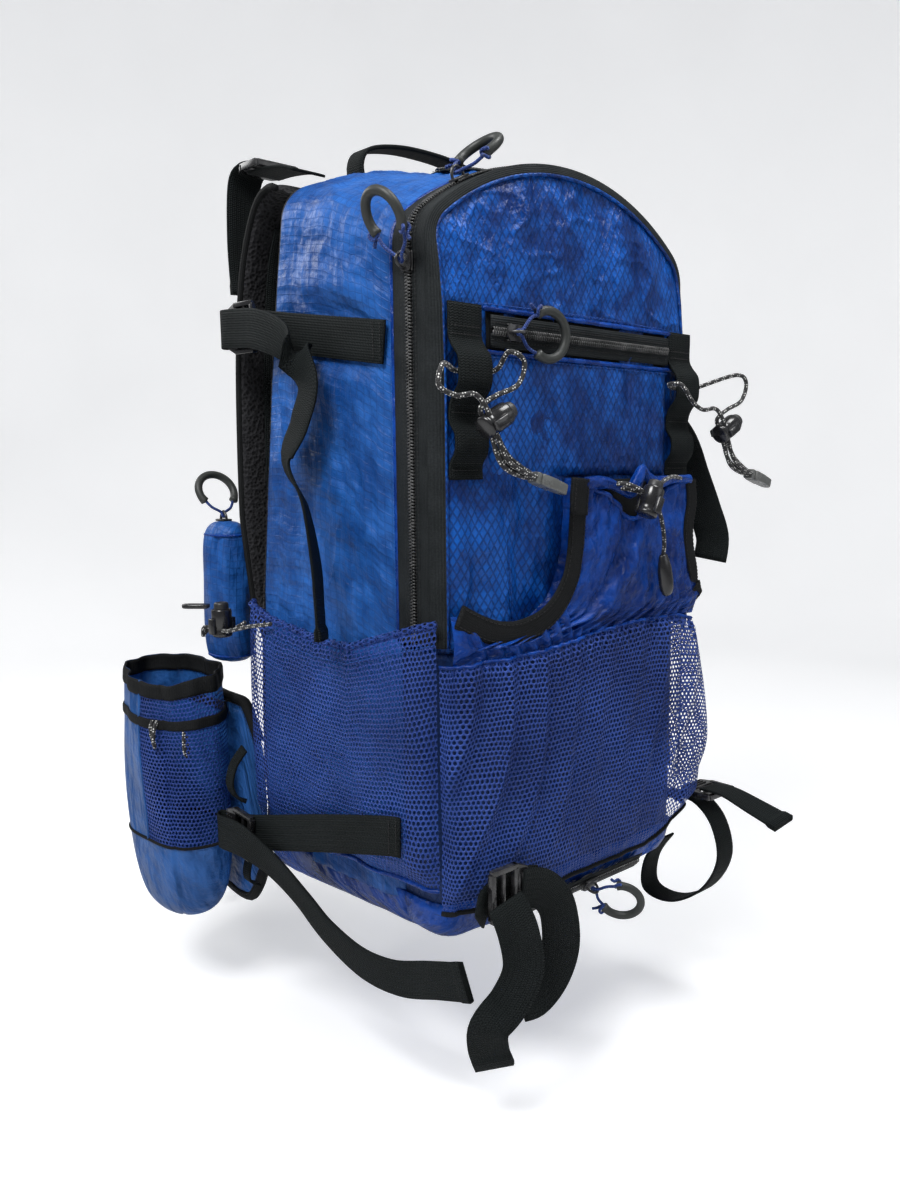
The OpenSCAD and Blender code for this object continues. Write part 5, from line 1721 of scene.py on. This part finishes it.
# ---------------------------------------------------------------- hip belt
def belt_wing():
    """Rings of the left wing, round the hip towards +y."""
    line = resample(spline([(-119, 125), (-121, 150), (-118, 190), (-109, 235), (-92, 280),
                            (-66, 312)], 12), step=3.5)
    out = -left_of(line)
    length = travelled(line)[:, None]
    x, y = line[:, :1], line[:, 1:]
    bottom = np.interp(y, [116, 122, 150, 180, 210, 262, 290, 312],
                       [-22, -31, -38, -39.5, -38, -16, 6, 24])
    top = np.interp(y, [116, 122, 150, 200, 262, 300, 312],
                    [104, 116, 120, 119, 112, 106, 101])
    from_end = np.minimum(length, length[-1] - length)
    narrowing = 0.55 + 0.45*np.sin(math.pi/2*np.minimum(1, (from_end + 1)/25))
    thinning = 0.35 + 0.65*np.sin(math.pi/2*np.minimum(1, (from_end + 0.5)/10.5))
    angle = np.linspace(0, 2*math.pi, 64, endpoint=False)
    rise = np.sign(np.sin(angle))*np.abs(np.sin(angle))**0.5
    depth = np.sign(np.cos(angle))*np.abs(np.cos(angle))**0.8
    uneven = 1 + 0.05*np.sin(rise*9 + length*0.11) + 0.04*np.sin(length*0.21)
    offset = 11*thinning/2*depth*uneven
    return coords(x + out[:, :1]*offset, y + out[:, 1:]*offset,
                  (bottom + top)/2 + rise*(top - bottom)/2*narrowing)


BOTTLE_CENTRE = np.array([-155.0, 194.0])
BOTTLE_AROUND = 120
# (z, size, tilt)
BOTTLE_STATIONS = spline([
    (-49.5, 0.05, 0), (-48.5, 0.42, 0), (-43, 0.66, 0), (-31, 0.84, 0), (-8, 0.96, 0),
    (30, 1.02, 0), (76, 1.04, 0), (114, 0.99, 1.0), (136, 0.95, 2.2), (146, 0.93, 3.0)], 6)
BOTTLE_Z = BOTTLE_STATIONS[:, 0]


def bottle_ring(z, size, tilt):
    angle = np.linspace(0, 2*math.pi, BOTTLE_AROUND)
    ring = oval(BOTTLE_CENTRE, 31*size, 54*size, BOTTLE_AROUND, 0.92)
    near_top = math.exp(-max(0, 146 - z)/34.0)
    belly = math.sin(math.pi*min(1, max(0, (z + 48)/190)))*min(1, size)
    wave = ((1.9*np.sin(7*angle + z/30) + 1.0*np.sin(13*angle))*near_top
            + 1.5*np.sin(5*angle + z/26.0)*belly
            - 1.6*np.exp(-(np.mod(angle - 3.9 + z/900.0, 2*math.pi)/0.10)**2))
    ring = ring + unit(ring - BOTTLE_CENTRE)*wave[:, None]
    sag = 5.5*near_top*np.exp(-((np.mod(angle, 2*math.pi) - 3.7)/0.7)**2)
    return coords(ring[:, 0], ring[:, 1], z + tilt*np.cos(angle)*0.6 - sag)


# small elastic loops on the pocket, left side
BOTTLE_CORDS = (
    [(-181.5, 166, 112), (-185.5, 162, 108), (-187.5, 160, 100), (-185.5, 163, 94),
     (-184.5, 168, 98), (-186, 167, 107), (-183, 170, 112)],
    [(-168, 149, 112), (-170.5, 146, 104), (-171, 145.5, 92), (-168.5, 146, 86),
     (-167, 147.5, 92), (-168, 147, 102)])


def bottle_pocket(side, word, body, node):
    """A cloth cup below; above it mesh on one stretch and cloth on the rest."""
    flip = side < 0
    rings = np.array([bottle_ring(*station) for station in BOTTLE_STATIONS])*(side, 1, 1)
    cut = int(np.argmin(np.abs(BOTTLE_Z - 16)))
    sheet("bottle_cup_" + word, rings[:cut + 1], "belt", body, replaces=(node,), flip=flip)
    upper = rings[cut:]
    start, end = int(BOTTLE_AROUND*0.52), int(BOTTLE_AROUND*0.93)
    mesh = upper[:, start:end]
    sheet("bottle_mesh_" + word, mesh, "mesh", body, uv=even_uv(mesh), flip=flip)
    sheet("bottle_cloth_" + word,
          np.concatenate([upper[:, end - 1:-1], upper[:, :start + 1]], axis=1), "belt", body,
          flip=flip)
    tube("bottle_side_seam_" + word, resample(upper[:, start], step=4), 1.2, "belt", body,
         around=8)
    for name, z, height in (("rim", 139.5, 13), ("band", 112, 8)):
        band = []
        for k in range(6):
            row = float(np.interp(z + (k/5 - 0.5)*height, BOTTLE_Z, np.arange(len(BOTTLE_Z))))
            i = min(int(row), len(BOTTLE_Z) - 2)
            ring = rings[i]*(1 - (row - i)) + rings[i + 1]*(row - i)
            out = unit(ring[:, :2] - BOTTLE_CENTRE*(side, 1))
            ring[:, :2] += out*(1.5 if 0 < k < 5 else 0.8)
            band.append(ring)
        sheet(f"bottle_{name}_{word}", band, "bind", body, thick=1.7, flip=flip)
    tube("bottle_cup_seam_" + word, resample(rings[cut], step=3), 1.3, "bind", body, around=8,
         capped=False)
    for j, points in enumerate(BOTTLE_CORDS):
        tube(f"bottle_cord_{j}_{word}", place(mirror(side), spline(points, 7)), 1.4, "cord",
             body, around=10)


for side, word, letter in SIDES:
    body = "belt_" + letter
    wing = belt_wing()*(side, 1, 1)
    wing[..., 0] += ripple(wing, (0.04, 0.03, 0.04), 3.0)
    loft("belt_pad_" + word, wing, "belt", body, ("belt_wing_" + letter,))
    for name, j, rise in (("top", 16, -2.0), ("bottom", 48, 2.0)):
        edge = resample(wing[1:-1, j], step=4)
        tube(f"belt_binding_{name}_{word}", edge, 4.2, "bind", body)
        stitches(f"belt_binding_st_{name}_{word}", edge + (-4.4*side, 0, rise), (-side, 0, 0),
                 body, **BINDING_SEAM | {"radius": 0.3})
    bottle_pocket(side, word, body, "bottle_pocket_" + letter)
    strap("belt_webbing_" + word,
          np.array([(-80, 306.5, 84), (-80, 306.8, 50), (-80, 306.8, 10),
                    (-80, 306.5, -24)])*(side, 1, 1),
          (0.63*side, 0.78, 0), body=body, replaces=("belt_strap_" + letter,))

socket = [box(-17, 17, -5, -3, -44, -4), box(-17, 17, 3, 5, -44, -4),
          box(-17, 17, -5, 5, -12, -4)]
for x in (13, -17):
    socket += [box(x, x + 4, -5, 5, -20, -4), box(x, x + 4, -5, 5, -44, -34)]
socket.append(box(-15, 15, -2.5, 2.5, -8, -1))
solid("belt_socket_body", socket, "gloss", "belt_l", 0.9, replaces=("belt_socket",),
      frame=move(-80, 306.5, -26) @ turn(0, 0, 51))
plug = [box(-15, 15, -2.5, 2.5, -12, -2), box(-2, 2, -2, 2, -34, -10)]
for prong_x, tip_x in ((7.2, 8.5), (-10.7, -13.5)):
    plug += [box(prong_x, prong_x + 3.5, -2, 2, -36, -10), box(tip_x, tip_x + 5, -2, 2, -38, -29)]
solid("belt_plug_body", plug, "gloss", "belt_r", 0.8, replaces=("belt_plug",),
      frame=move(80, 306.5, -26) @ turn(0, 0, -51))

# any CAD node still shown gets a plain finish
for node in frame["nodes"].values():
    if not node.hide_render:
        node.data.materials.clear()
        node.data.materials.append(FINISHES["matte"][1])

# ---------------------------------------------------------------- floor, in metres
bpy.context.view_layer.update()
VIEW_TURN = math.radians(-43.74)  # the camera's turn round the pack
VIEW_RISE = math.radians(9.28)


def floor_material():
    """Pale floor that the camera sees a little brighter than the light it gives back."""
    shader = Shader("floor_pale")
    spot = shader.place(1.0)
    colour = shader.noise(spot, 3.0).ramp(0.3, 0.7).mix((0.80, 0.80, 0.80), (0.84, 0.84, 0.84))
    paint = shader.surface(colour, 0.7, shader.noise(spot, 90.0).bump(0.05, 0.0005), spec=0.1)
    seen = shader.add("LightPath", output="Is Camera Ray")*0.42
    glow = shader.add("Emission", {0: (0.97, 0.98, 1.0), 1: seen})
    return shader.finish(shader.add("AddShader", {0: paint, 1: glow}))


def sweep_curve(start):
    """The bend from floor to wall, (distance, height)."""
    return [(start + 0.9*math.sin(t), 0.9 - 0.9*math.cos(t))
            for t in np.linspace(0.05, math.pi/2, 16)]


pale = floor_material()
profile = [(-3.0, 0.0), (1.6, 0.0)] + sweep_curve(1.6) + [(2.5, 3.4)]
floor = metre_object("floor_sweep",
                     [(x, y, z - 0.118) for y, z in profile for x in (-4.0, 4.0)],
                     grid_faces(2, len(profile)), pale)
floor.rotation_euler = (0, 0, VIEW_TURN)

# the straight sweep only gives light back; the camera sees a round one, so that every
# side has the same backdrop
profile = [(0.001, 0.0), (0.5, 0.0), (1.0, 0.0), (1.5, 0.0)] + sweep_curve(1.5) + [(2.4, 4.2)]
angles = [2*math.pi*k/96 for k in range(96)]
round_floor = metre_object(
    "floor_round", [(r*math.cos(a), r*math.sin(a), z - 0.117) for r, z in profile
                    for a in angles], grid_faces(96, len(profile), wrap=True), pale)
floor.visible_camera = False
for ray in ("diffuse", "glossy", "shadow", "transmission", "volume_scatter"):
    setattr(round_floor, "visible_" + ray, False)

# ---------------------------------------------------------------- light and camera
world = bpy.data.worlds.new("studio")
bpy.context.scene.world = world
world.use_nodes = True
background = world.node_tree.nodes["Background"]
background.inputs["Color"].default_value = (0.93, 0.95, 1.0, 1)
rays = world.node_tree.nodes.new("ShaderNodeLightPath")
sky = world.node_tree.nodes.new("ShaderNodeMapRange")
world.node_tree.links.new(rays.outputs["Is Camera Ray"], sky.inputs[0])
sky.inputs[3].default_value = 0.24  # strength as a light
sky.inputs[4].default_value = 0.86  # strength as the camera sees it
world.node_tree.links.new(sky.outputs[0], background.inputs["Strength"])


def area_light(name, place_at, size, power, color=(1, 1, 1)):
    light = bpy.data.lights.new(name, "AREA")
    light.shape = "RECTANGLE"
    light.size, light.size_y = size
    light.energy = power
    light.color = color
    made = bpy.data.objects.new(name, light)
    bpy.context.scene.collection.objects.link(made)
    made.location = place_at
    aim = Vector((0, 0.02, 0.24)) - Vector(place_at)
    made.rotation_euler = aim.to_track_quat("-Z", "Y").to_euler()


area_light("key", (-0.95, -0.25, 1.35), size=(0.6, 0.45), power=19)
area_light("fill_front", (0.75, -1.35, 0.75), size=(0.9, 0.7), power=2.6,
           color=(0.96, 0.98, 1.0))
area_light("rim", (-0.5, 1.5, 1.1), size=(1.0, 0.6), power=8)
area_light("top", (0.25, -0.40, 1.5), size=(0.5, 0.5), power=11)

lens = bpy.data.cameras.new("photo_camera")
camera = bpy.data.objects.new("photo_camera", lens)
bpy.context.scene.collection.objects.link(camera)
bpy.context.scene.camera = camera
backward = Vector((math.sin(VIEW_TURN)*math.cos(VIEW_RISE),
                   -math.cos(VIEW_TURN)*math.cos(VIEW_RISE), math.sin(VIEW_RISE)))
camera.location = (-0.4757, -0.52097, 0.30278)
camera.rotation_euler = backward.to_track_quat("Z", "Y").to_euler()
lens.sensor_fit = "VERTICAL"
lens.sensor_height = 36
lens.sensor_width = 27
lens.lens = 29.3691
lens.shift_x = -0.0524
lens.shift_y = 0.0159
lens.clip_start = 0.01
view = bpy.context.scene.view_settings
view.view_transform = "Standard"
view.look = "None"
view.exposure = 0.0
view.gamma = 1.0
